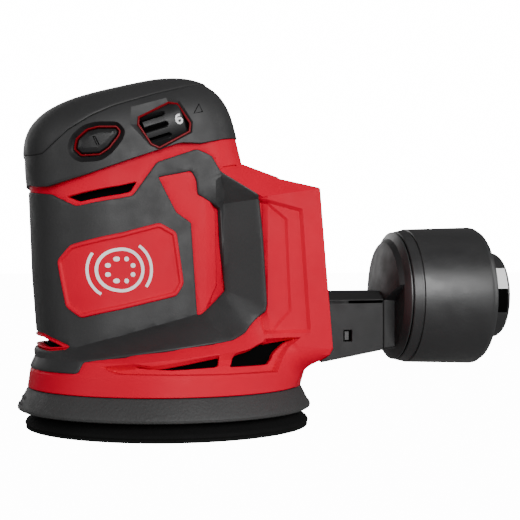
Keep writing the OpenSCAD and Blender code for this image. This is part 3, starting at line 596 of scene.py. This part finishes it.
def prism(profile, near, far):
    # profile in (x, z), extruded across from near to far
    bm = bmesh.new()
    face = bm.faces.new([bm.verts.new((x, near, z)) for x, z in profile])
    made = bmesh.ops.extrude_face_region(bm, geom=[face])["geom"]
    moved = [g for g in made if isinstance(g, bmesh.types.BMVert)]
    bmesh.ops.translate(bm, vec=(0, far - near, 0), verts=moved)
    return bm


def joined(parts):
    bm = bmesh.new()
    for part in parts:
        mesh = bpy.data.meshes.new("part")
        part.to_mesh(mesh)
        part.free()
        bm.from_mesh(mesh)
        bpy.data.meshes.remove(mesh)
    return bm


# base ring
ring = [(50, 18.5), (58.4, 17.65), (58.9, 18.0), (57.2, 23.0), (50, 23.2)]
keep(spun(ring + ring[:1], 128), "baseRing", "red")

# battery block behind the grip: a core with the slot, a roof, the flare under it and the neck above it
block = {
    "side": [(34.5, 41), (51, 41), (52.5, 34.8), (66.9, 34.8), (61.35, 103.0), (50, 105.7), (50, 98),
             (34.5, 98)],
    "shallow": [(30, 35), (66.9, 34.8), (64.7, 62), (56.5, 62), (56.5, 104.2), (44.6, 107.0), (44, 107.7),
                (29.8, 113.4), (20, 113.4)],
    "deep": [(30, 35), (66.9, 34.8), (64.7, 62), (56.5, 62), (56.5, 69.6), (46, 69.6), (46, 96.4),
             (56.5, 96.4), (56.5, 104.2), (44.6, 107.0), (44, 107.7), (29.8, 113.4), (20, 113.4)],
    "rail": [(59.8, 64), (64.5, 64), (61.35, 103.0), (59.8, 103.3)],
}
parts = [prism(block["deep"], -20.4, 20.4)]
for s in (-1, 1):
    parts.append(prism(block["shallow"], s * 20.4, s * 25))
    parts.append(prism(block["side"], s * 25, s * 34.9))
    parts.append(prism(block["rail"], s * 22, s * 25))
core = joined(parts)
keep(core, "blockCore", "red")
roof = []
for start, stop, inner in ((29.5, 56.5, 0.0), (56.5, 61.4, 25.0)):
    for s in (-1, 1):
        def roofPoint(x, r, s=s, inner=inner):
            wide = track(grip["upperY"], x) - 0.25
            return Vector((x, s * mix(inner, wide, r), track(grip["upper"], x) - 0.05))
        columns = steps(start, 44, 4) + [44.5] + steps(45, stop, 4) if start < 44 else [start, stop]
        roof.append(sheet(columns, [0, 1], roofPoint))
keep(joined(roof), "blockRoof", "red", weld=0.001)


def flarePoint(u, z):
    way = math.atan2(38, 67) * u
    out = track(grip["ringWide"], z)
    s = track(grip["flare"], z)
    return Vector((mix(out * math.cos(way), 67, s), mix(out * math.sin(way), 38 * clamp(u, -1, 1), s), z))


flareRows = steps(17.7, 34.6, 12) + [34.9]
keep(sheet(steps(-1.03, 1.03, 34), flareRows, flarePoint), "rearFlare", "red")


def neckPoint(turn, z):
    # turn runs from the flank to the middle of the rear face
    c = neckCentre(z)
    z = min(z, 117.3 + (c + 28) * 0.2605 + 1.0)
    if turn <= 1:
        a = turn * math.pi / 2
        return Vector((c + 15.9 * math.sin(a), -19 - 15.9 * math.cos(a), z))
    return Vector((c + 15.9, -19 * (2 - turn), z))


half = sheet(steps(0.5, 1, 16) + steps(1.05, 2, 6), steps(112.5, 131, 12), neckPoint)
other = mirrored(half)
keep(joined([half, other]), "neckShell", "red", weld=0.001)
print("block made")

# head: a leaning dome in its own frame, p along the head, q up
head = {
    "x": -14.0, "z": 117.3, "lean": math.radians(14.6),
    "long": 45.8, "half": 38.5, "high": 31.0, "power": 3.0,
    "front": [(-6, 4.2), (0, 2.6), (10, 1.0), (16, 0.8), (26, 0.8)],
    "low": [(-50, 0.0), (-46.5, -0.3), (-43, -2.8), (-39, -4.2), (-24, -3.5), (-6, -1.75), (16, 0.1),
            (25, -2.4), (36, -2.7), (46, -3.6)],
    "seam": [(-46, 11.6), (-44.5, 10.4), (-39.6, 9.4), (-27.4, 16.1), (-16.6, 19.6), (-6.6, 21.4),
             (11.9, 22.5), (30.1, 22.8), (46, 21)],
}


def headPlace(p, y, q):  # from the leaning frame to the tool's frame
    c, s = math.cos(head["lean"]), math.sin(head["lean"])
    return Vector((head["x"] + p * c - q * s, y, head["z"] + p * s + q * c))


def headPower(p):
    return 3.05 - 0.25 * clamp(p / 20, -1, 1)


def headStretch(ux, q):  # the nose reaches further forward near the foot
    return 1 + track(head["front"], q) / head["long"] * max(-ux, 0) ** 2 - 0.04 * max(ux, 0) ** 2


def headSpot(way, rise):
    # way is the direction round the head, rise is 0 at its foot and 1 at its crest; gives (p, y, q)
    cx, cy = math.cos(way), math.sin(way)
    k = 2 / (head["power"] + clamp(cx * 2))
    ux = math.copysign(abs(cx) ** k, cx)
    uy = math.copysign(abs(cy) ** k, cy)
    if rise < 0:
        p = head["long"] * ux
        q = track(head["low"], p) * -rise
        return p * headStretch(ux, q), head["half"] * uy, q
    out = 1.0
    for _ in range(4):
        e = headPower(head["long"] * out * ux)
        out = max(math.cos(rise * math.pi / 2), 0) ** (2 / e)
    q = head["high"] * math.sin(rise * math.pi / 2) ** (2 / e)
    return head["long"] * out * ux * headStretch(ux, q), head["half"] * out * uy, q


def headFace(p, q):  # the left side seen flat: gives the point of the surface above (p, q)
    e = headPower(p)
    out = 1 - max(q / head["high"], 0) ** e
    out = max(out, 0) ** (1 / e)
    stretch = headStretch(p / head["long"], q)
    ratio = clamp(abs(p) / head["long"] / stretch / max(out, 1e-6))
    power = head["power"]
    for _ in range(4):
        power = head["power"] + (clamp(2 * ratio ** (power / 2)) if p > 0 else 0)
    return headPlace(p, -head["half"] * out * (1 - ratio ** power) ** (1 / power), q)


def seamRise(way):
    low, high = 0.0, 1.0
    for _ in range(24):
        middle = (low + high) / 2
        p, y, q = headSpot(way, middle)
        if q < track(head["seam"], p):
            low = middle
        else:
            high = middle
    return low


def headPoint(way, rise, lift):
    p, y, q = headSpot(way, min(rise, 0.9999))
    if lift:
        e = 0.004
        rise = clamp(rise, 0, 0.9999)
        a = Vector(headSpot(way + e, rise)) - Vector(headSpot(way - e, rise))
        b = Vector(headSpot(way, min(rise + e, 0.9999))) - Vector(headSpot(way, max(rise - e, 0.0)))
        n = a.cross(b)
        if n.length > 1e-9:
            n.normalize()
            p, y, q = p + n.x * lift, y + n.y * lift, q + n.z * lift
    return headPlace(p, y, q)


def cutWindow(bm, outline, flank):
    # opens the cover inside a convex outline in the head's side view, on the flank -1 or 1
    c, s = math.cos(head["lean"]), math.sin(head["lean"])
    if area(outline) < 0:
        outline = outline[::-1]
    low = [min(p[i] for p in outline) - 1 for i in range(2)]
    high = [max(p[i] for p in outline) + 1 for i in range(2)]

    def flat(co):
        dx, dz = co.x - head["x"], co.z - head["z"]
        return dx * c + dz * s, dz * c - dx * s

    def near():
        out = []
        for face in bm.faces:
            co = face.calc_center_median()
            p, q = flat(co)
            if co.y * flank > 8 and low[0] - 2 < p < high[0] + 2 and low[1] - 2 < q < high[1] + 2:
                out.append(face)
        return out

    for (ap, aq), (bp, bq) in zip(outline, outline[1:] + outline[:1]):
        geom = set()
        for face in near():
            geom.add(face)
            geom.update(face.edges)
            geom.update(face.verts)
        a, b = headPlace(ap, 0, aq), headPlace(bp, 0, bq)
        side = (b - a).cross(Vector((0, 1, 0)))
        bmesh.ops.bisect_plane(bm, geom=list(geom), dist=0.0005, plane_co=a, plane_no=side)
    gone = [f for f in near() if depthIn(outline, *flat(f.calc_center_median())) > 0]
    bmesh.ops.delete(bm, geom=gone, context="FACES")
    return bm


def loft(loops):
    n = len(loops[0])
    return sheet(list(range(n + 1)), list(range(len(loops))), lambda i, j: loops[j][i % n])


def headLoop(outline, lift):
    out = []
    e = 0.3
    for p, q in outline:
        n = (headFace(p + e, q) - headFace(p - e, q)).cross(headFace(p, q + e) - headFace(p, q - e))
        out.append(headFace(p, q) + n.normalized() * lift)
    return out


dialWindow = [(0.4, 11.5), (1.6, 14.8), (15.8, 18.3), (19.6, 16.8), (22.7, 7.0), (21.4, 3.3),
              (6.8, -0.5), (3.6, 2.0)]
dialEdge = [(-2.5, 12.2), (0.0, 19.2), (15.3, 19.7), (20.2, 17.2), (23.3, 7.1), (21.8, 2.8),
            (6.7, -1.1), (3.1, 1.7)]
buttonWindow = [(-27.6, 7.7), (-25.6, 12.0), (-20.3, 14.9), (-15.5, 15.0), (-7.8, 13.1), (-6.7, 10.6),
                (-7.8, 8.6), (-13.0, 4.5), (-17.7, 2.7), (-25.4, 4.2)]
for outline in (dialWindow, dialEdge, buttonWindow):
    if area(outline) < 0:
        outline.reverse()
wellShift = [(p - 0.5, q - 0.4) for p, q in inset(buttonWindow, -2.0)]
wellEdge = soft(wellShift, 4.0, 4)
rimLoop = soft(buttonWindow, 0.8, 4)

ways = steps(0, 2 * math.pi, 240)
seams = {w: seamRise(w) for w in ways}
coverRows = [(-1.0, -2.5), (-1.0, -0.5), (-0.97, -0.15), (-0.9, 0), (-0.6, 0), (-0.3, 0), (0.0, 0)]
coverRows += [(s, 0) for s in steps(0.04, 0.97, 22)] + [(0.99, -0.1), (1.0, -0.5), (1.0, -2.0)]


def coverPoint(w, row):
    s, lift = row
    return headPoint(w, s if s < 0 else seams[w] * s, lift)


cover = sheet(ways, coverRows, coverPoint)
bmesh.ops.remove_doubles(cover, verts=cover.verts[:], dist=0.001)
cutWindow(cover, wellEdge, -1)
cutWindow(cover, wellEdge, 1)
cutWindow(cover, dialEdge, -1)
keep(cover, "headCover", "overmould", stands=["head_cover"])
palmRows = [(0, -2.0), (0, -0.2), (0.006, 0.25), (0.02, 0.45), (0.05, 0.5)]
palmRows += [(s, 0.5) for s in steps(0.1, 1.0, 22)]
palm = sheet(ways, palmRows, lambda w, r: headPoint(w, mix(seams[w], 1, r[0]), r[1]))
keep(palm, "palmPad", "overmould", stands=["palm_pad"], weld=0.02)

# wells and rims round the buttons and the wheel
between = [(mix(a[0], b[0], 0.35), mix(a[1], b[1], 0.35)) for a, b in zip(wellEdge, rimLoop)]
closer = [(mix(a[0], b[0], 0.75), mix(a[1], b[1], 0.75)) for a, b in zip(wellEdge, rimLoop)]
well = loft([headLoop(wellEdge, 0.0), headLoop(between, -0.9), headLoop(closer, -1.9),
             headLoop(rimLoop, -2.1), headLoop(rimLoop, -4.0)])
other = mirrored(well)
# the recess round the keys is real geometry; its darker button plastic is painted shade in the recess
keep(well, "leftWell", "control", weld=0.001, sharp=50)
keep(other, "rightWell", "control", weld=0.001, sharp=50)
rimIn = inset(rimLoop, 0.75)
buttonRim = loft([headLoop(rimLoop, -3.0), headLoop(rimLoop, -0.9), headLoop(inset(rimLoop, 0.2), -0.65),
                  headLoop(inset(rimLoop, 0.55), -0.65), headLoop(rimIn, -0.85), headLoop(rimIn, -4.5)])
other = mirrored(buttonRim)
keep(buttonRim, "onRim", "trim", stands=["on_button_rim"], weld=0.001)
keep(other, "offRim", "trim", stands=["off_button_rim"], weld=0.001)
dialWell = loft([headLoop(dialEdge, 0.0), headLoop(inset(dialWindow, -0.05), -1.1),
                 headLoop(dialWindow, -3.0)])
keep(dialWell, "dialWell", "overmould", weld=0.001, sharp=15)
dialIn = inset(dialWindow, 0.8)
dialRim = loft([headLoop(dialWindow, -3.0), headLoop(dialWindow, -0.75),
                headLoop(inset(dialWindow, 0.2), -0.5), headLoop(inset(dialWindow, 0.6), -0.5),
                headLoop(dialIn, -0.7), headLoop(dialIn, -1.5)])
keep(dialRim, "dialRim", "trim", stands=["dial_rim"], weld=0.001)
shade = loft([headLoop(inset(dialWindow, 0.7), -1.4), headLoop(dialIn, -2.0)])
keep(shade, "dialShade", "case_black", look=dark)

# push buttons
onMark = [(-17.9, 7.0), (-16.9, 6.7), (-17.6, 10.6), (-18.5, 10.9)]
keyOutline = inset(buttonWindow, 1.15)
keyRings = [(0, -3.4), (0, -1.3), (0.5, -0.7), (2.0, -0.1), (2.3, -0.05)]


def keyPiece(marks):
    bm = panel(soft(keyOutline, 0.5, 2), keyRings, (), 1.6)
    for m in marks:
        score(bm, m)
        score(bm, inset(m, 0.15))
    features = [{"outline": m, "wall": 0.15, "depth": 0.5} for m in marks]
    return drape(bm, headFace, 0.4, lambda p, q: sunk(features, p, q))


if area(onMark) < 0:
    onMark.reverse()
keep(keyPiece([onMark]), "onButton", "control", "on_key", stands=["on_button"], sharp=20)
onSign = decal([(onMark + onMark[:1], 0.3)], headFace, 0.02)
keep(onSign, "onSign", "control", "on_key", look=dark)
offRing = [(-17.3 + 2.0 * math.cos(a), 8.9 + 2.0 * math.sin(a)) for a in steps(0, 2 * math.pi, 20)[:-1]]
offKey = keyPiece([])
keep(mirrored(offKey), "offButton", "control", "off_key", stands=["off_button"], sharp=20)
offKey.free()
offMark = decal([(offRing + offRing[:1], 0.55)], headFace, 0.05)
keep(mirrored(offMark), "offMark", None, "off_key", look=white)
offMark.free()
arrow = [(24.7, 10.5), (28.0, 13.9), (28.5, 10.4)]
keep(decal([(arrow + arrow[:1], 0.5)], headFace, 0.12), "dialMark", "overmould", look=dark)
print("head made")

# speed wheel: ridged over its front part, numbers on the rest
wheel = {"centre": Vector((-5.2, -24.0, 128.8)), "lean": math.radians(18.6), "half": 8.7, "ridges": 16}


def wheelPoint(a, turn, r):
    c, s = math.cos(wheel["lean"]), math.sin(wheel["lean"])
    up = Vector((-s, 0, c)) * math.sin(turn)
    return wheel["centre"] + Vector((c, 0, s)) * a + (up - Vector((0, math.cos(turn), 0))) * r


def wheelRadius(a, turn):
    place = (turn / (2 * math.pi) * wheel["ridges"] + 0.5) % 1.0 - 0.5
    groove = clamp((0.23 - abs(place)) / 0.05)
    fade = clamp((1.9 - a - 24 * place ** 2) / 0.5)
    return mix(12.6, 9.9, groove * fade)


along = [(-8.7, 0.0), (-8.7, 0.8), (-8.3, 1.0)] + [(a, 1.0) for a in steps(-7.5, 1.2, 8)]
along += [(a, 1.0) for a in steps(1.5, 4.0, 12)] + [(6.0, 1.0), (8.2, 1.0), (8.7, 0.96), (8.7, 0.0)]
around = steps(0, 2 * math.pi, 288)
wheelBody = sheet(along, around, lambda a, t: wheelPoint(a[0], t, wheelRadius(a[0], t) * a[1]))
keep(wheelBody, "speedWheel", "control", "dial", stands=["speed_dial"], weld=0.001)
# painted shade: a near-black drum under the ridges darkens the bottoms of the grooves
grooveShade = sheet([-8.5, 1.8], around, lambda a, t: wheelPoint(a, t, 10.2))
keep(grooveShade, "wheelGrooveShade", "control", "dial", look=dark, weld=0.001)
digits = {
    6: [(0.75, 1.25), (0.2, 1.5), (-0.5, 1.25), (-0.95, 0.5), (-1.0, -0.4), (-0.65, -1.2), (0.0, -1.45),
        (0.7, -1.2), (1.0, -0.5), (0.7, 0.1), (0.0, 0.3), (-0.65, 0.05), (-0.95, -0.45)],
    5: [(0.9, 1.4), (-0.7, 1.4), (-0.8, 0.2), (0.0, 0.5), (0.8, 0.1), (0.9, -0.7), (0.3, -1.4),
        (-0.8, -1.2)],
    4: [(0.5, -1.5), (0.5, 1.5), (-1.0, -0.6), (1.0, -0.6)],
    3: [(-0.8, 1.2), (0.0, 1.5), (0.7, 1.0), (0.1, 0.2), (0.9, -0.5), (0.4, -1.4), (-0.8, -1.2)],
    2: [(-0.8, 0.9), (-0.1, 1.5), (0.8, 0.9), (0.3, 0.0), (-0.9, -1.4), (0.9, -1.4)],
    1: [(-0.5, 1.0), (0.2, 1.5), (0.2, -1.5)],
}


def wheelFace(base):
    return lambda u, v: wheelPoint(6.6 + u * 1.15, base + v * 1.2 / 12.6, 12.64)


numbers = []
for digit, points in digits.items():
    turn = math.radians(54 * (6 - digit)) + 0.02
    numbers.append(decal([(points, 0.75)], wheelFace(turn), 0.0))
keep(joined(numbers), "wheelNumbers", None, "dial", look=white)
print("wheel made")

# disc mark on the badges: a ring with eight holes between two sweeping strokes
markPlace = (-22.6, 68.4)


def arc(radius, start, stop, n, squash=1.0):
    out = []
    for a in steps(math.radians(start), math.radians(stop), n):
        out.append((markPlace[0] + radius * math.cos(a), markPlace[1] + radius * math.sin(a) * squash))
    return out


strokes = [(arc(8.6, 0, 360, 48), 1.3)]
for k in range(8):
    a = math.radians(k * 45 + 22.5)
    cx, cy = markPlace[0] + 4.9 * math.cos(a), markPlace[1] + 4.9 * math.sin(a)
    dot = [(cx + 0.5 * math.cos(b), cy + 0.5 * math.sin(b)) for b in steps(0, 2 * math.pi, 12)]
    strokes.append((dot, 0.98))
strokes.append((arc(12.2, -35, 55, 18), 1.2))
strokes.append((arc(12.2, 145, 235, 18), 1.2))
half = decal(strokes, bodyPoint, 0.86)
other = mirrored(half)
keep(half, "leftMark", None, look=white)
keep(other, "rightMark", None, look=white)
print("marks made")

# dust box: sleeve over the port, hood, collar and cup
sleeve = {
    "side": [(68.8, 26.6), (97.3, 31.9), (97.3, 54.6), (68.8, 54.4)],
    "latch": [(78.8, 36.0), (82.6, 36.0), (82.6, 41.0), (78.8, 41.0)],
    "width": [(68.8, 12.5), (81.0, 13.2), (97.5, 13.2)],
    "tab": [(79.4, 36.6), (81.2, 36.6), (81.2, 40.4), (79.4, 40.4)],
    "shade": [(69.5, 33.5), (97, 35), (97, 52), (69.5, 52)],
}
boxAxis = 56  # height of the axis of collar, cup and filter


def sleevePoint(x, z):
    return Vector((x, -track(sleeve["width"], x), z))


side = panel(sleeve["side"], [(0, -1.0), (0, -0.2), (0.2, 0)], [sleeve["latch"]], 4.0)
score(side, [(81.0, 20.0), (81.0, 60.0)], False)
drape(side, sleevePoint, 1.6)
other = mirrored(side)


def sleeveTop(x, r):
    wide = track(sleeve["width"], x)
    y = mix(-wide, wide, r)
    rise = 3.9 * clamp((1 - abs(2 * r - 1)) / 0.5)
    return Vector((x, y, 54.4 + 0.2 * (x - 68.8) / 28.7 + rise))


def sleeveRoof(x, row):
    r, lift = row
    p = sleeveTop(x, r)
    p.z += lift
    return p


across = [(0, -1.5), (0, 0.15), (0.02, 0.3), (0.25, 0), (0.4, 0), (0.5, 0), (0.6, 0), (0.75, 0),
          (0.98, 0.3), (1, 0.15), (1, -1.5)]
roofSheet = sheet([68.8, 75, 81, 89, 97.3], across, sleeveRoof)


def sleeveFloor(x, s):
    return Vector((x, s * track(sleeve["width"], x), 26.7 + (x - 68.8) * 0.186))


floorSheet = sheet([68.8, 97.3], [-1, 1], sleeveFloor)
keep(joined([side, other, roofSheet, floorSheet]), "sleeveShell", "box_black", "dust_inlet",
     stands=["inlet_sleeve"], look=satin, weld=0.001, sharp=20)
latch = joined([prism(sleeve["tab"], s * 11.4, s * 12.7) for s in (-1, 1)])
keep(latch, "latchTabs", "box_black", "dust_inlet")
shade = joined([prism(sleeve["shade"], s * 11.35, s * 11.3) for s in (-1, 1)])
keep(shade, "sleeveShade", "box_black", "dust_inlet", look=dark)


hood = {"foot": [(97.4, 32.0), (103.4, 33.1), (103.4, 56.0), (97.4, 54.6)], "half": 13.2, "rim": 0.22}
hoodFoot = prism(hood["foot"], -hood["half"], hood["half"])
bmesh.ops.bevel(hoodFoot, geom=hoodFoot.edges[:], offset=0.8, segments=3, profile=0.5, material=-1,
                affect="EDGES")
hoodTop = bmesh.new()
for y, z in ((13.2, 54.6), (6.6, 58.4), (-6.6, 58.4), (-13.2, 54.6)):
    hoodTop.verts.new((97.5, y, z))
for y, z in ((13.2, 54.0), (-13.2, 54.0), (17.5, 61.5), (-17.5, 61.5)):
    hoodTop.verts.new((103.6, y, z))
for x, z in ((99.2, 66.0), (99.6, 78.0)):
    hoodTop.verts.new((x, 0, z))
for a in steps(hood["rim"], math.pi - hood["rim"], 28):
    hoodTop.verts.new((101.4, 24.6 * math.cos(a), boxAxis + 24.6 * math.sin(a)))
    hoodTop.verts.new((103.6, 26.4 * math.cos(a), boxAxis + 26.4 * math.sin(a)))
bmesh.ops.convex_hull(hoodTop, input=hoodTop.verts[:])
bmesh.ops.dissolve_limit(hoodTop, angle_limit=0.03, verts=hoodTop.verts[:], edges=hoodTop.edges[:])
keep(joined([hoodFoot, hoodTop]), "hoodShell", "box_black", "dust_inlet", stands=["inlet_elbow"],
     look=satin, sharp=12)
collar = [(4, 103.0), (24.4, 103.0), (25.8, 103.2), (28.9, 105.0), (29.4, 105.4), (29.4, 105.8),
          (28.3, 105.9), (28.3, 106.4), (4, 106.4)]
keep(spun(collar, 128, "X", (0, 0, boxAxis)), "collarRing", "box_black", "dust_inlet",
     stands=["box_collar"], sharp=20)
cup = [(26.8, 106.6), (29.2, 106.6), (29.6, 106.9), (30.5, 110.5), (30.1, 110.7), (30.1, 111.2),
       (30.8, 111.5), (31.8, 142.2), (31.6, 143.6), (30.3, 145.6), (29.1, 146.1), (19.6, 146.3),
       (19.6, 144.2), (27.4, 143.6), (29.6, 141.5), (28.4, 108.0), (26.8, 106.6)]
keep(spun(cup, 160, "X", (0, 0, boxAxis)), "cupShell", "box_black", "cup", stands=["dust_cup"])


def capPatch(start, stop, near, far, lift):
    def point(a, x):
        return Vector((x, -(19.7 + lift) * math.cos(a), boxAxis + (19.7 + lift) * math.sin(a)))
    return sheet(steps(math.radians(start), math.radians(stop), 12), [near, far], point)


drum = [(12, 150.8), (19.0, 150.8), (19.6, 151.3), (19.6, 155.2), (18.9, 156.2), (12, 156.6)]
keep(spun(drum, 96, "X", (0, 0, boxAxis)), "capDrum", "box_black", "filter", sharp=20)
keep(capPatch(10, 40, 149.2, 154.9, 0.08), "capWindow", None, "filter", look=white)
keep(capPatch(-22, 10, 149.2, 154.9, 0.06), "capBand", "seal", "filter", look=dark)
print("dust box made")

# rubber skirt, grained, with two small lugs at the front
skirtProfile = [(61.8, 8.5), (63.7, 7.9), (64.4, 8.3), (64.6, 9.2), (64.2, 10.2), (63.4, 11.1),
                (60.4, 16.9), (59.8, 17.35), (57, 17.3), (56, 16.4), (57, 14), (61.4, 10.2),
                (61.8, 8.5)]
keep(spun(skirtProfile, 160), "skirtRing", "skirt", stands=["skirt"])
lugs = []
for way in (183, 188):
    a = math.radians(way)
    for z in (11.0, 13.6):
        bm = bmesh.new()
        bmesh.ops.create_icosphere(bm, subdivisions=3, radius=0.8)
        r = 63.2 - (z - 11.5) * 0.5
        bmesh.ops.translate(bm, vec=(r * math.cos(a), r * math.sin(a), z), verts=bm.verts[:])
        lugs.append(bm)
keep(joined(lugs), "skirtLugs", "skirt")

# camera, floor and light
camera = bpy.data.objects.new("camera", bpy.data.cameras.new("camera"))
bpy.context.scene.collection.objects.link(camera)
camera.location = (-0.0699, -0.5321, 0.0725)
camera.rotation_euler = (math.pi / 2, 0, math.radians(-12))
camera.data.sensor_width = 36
camera.data.lens = 83.1
camera.data.clip_start = 0.01
camera.data.clip_end = 20
bpy.context.scene.camera = camera

floorShader = Shader("floor")
seen = floorShader.wire(floorShader.node("ShaderNodeLightPath"))
floorShader.set(Base_Color=(0.35, 0.35, 0.35, 1), Roughness=0.8, Emission_Color=(1, 1, 1, 1))
floorShader.set(Emission_Strength=seen * 14.0)
bm = bmesh.new()
bmesh.ops.create_grid(bm, x_segments=1, y_segments=1, size=6)
mesh = bpy.data.meshes.new("floor")
bm.to_mesh(mesh)
bm.free()
mesh.materials.append(floorShader.material)
floor = bpy.data.objects.new("floor", mesh)
bpy.context.scene.collection.objects.link(floor)

world = bpy.data.worlds.new("world")
bpy.context.scene.world = world
world.use_nodes = True
sky = world.node_tree.nodes["Background"]
sky.inputs["Color"].default_value = (1, 1, 1, 1)
path = world.node_tree.nodes.new("ShaderNodeLightPath")
scale = world.node_tree.nodes.new("ShaderNodeMapRange")
scale.inputs["To Min"].default_value = 0.15
scale.inputs["To Max"].default_value = 16.0
world.node_tree.links.new(path.outputs["Is Camera Ray"], scale.inputs["Value"])
world.node_tree.links.new(scale.outputs[0], sky.inputs["Strength"])


lamps = {  # place, aim, size, watts
    "key": [(0.25, -1.2, 0.45), (0.03, 0, 0.08), (0.8, 0.6), 18.5],
    "side": [(1.1, -0.35, 0.35), (0.03, 0, 0.08), (0.4, 0.8), 4],
    "fill": [(-1.0, -0.5, 0.35), (0, 0, 0.08), (0.4, 0.9), 4],
    "top": [(0.1, 0.1, 1.2), (0.03, 0, 0.08), (0.9, 0.6), 0.4],
    "back": [(-0.3, 1.1, 0.4), (0.03, 0, 0.08), (0.9, 0.6), 3],
}
for name, (place, aim, size, watts) in lamps.items():
    light = bpy.data.lights.new(name, "AREA")
    light.shape = "RECTANGLE"
    light.size, light.size_y = size
    light.energy = watts
    obj = bpy.data.objects.new(name, light)
    obj.location = place
    obj.rotation_euler = (Vector(aim) - Vector(place)).to_track_quat("-Z", "Y").to_euler()
    bpy.context.scene.collection.objects.link(obj)
print("scene made")
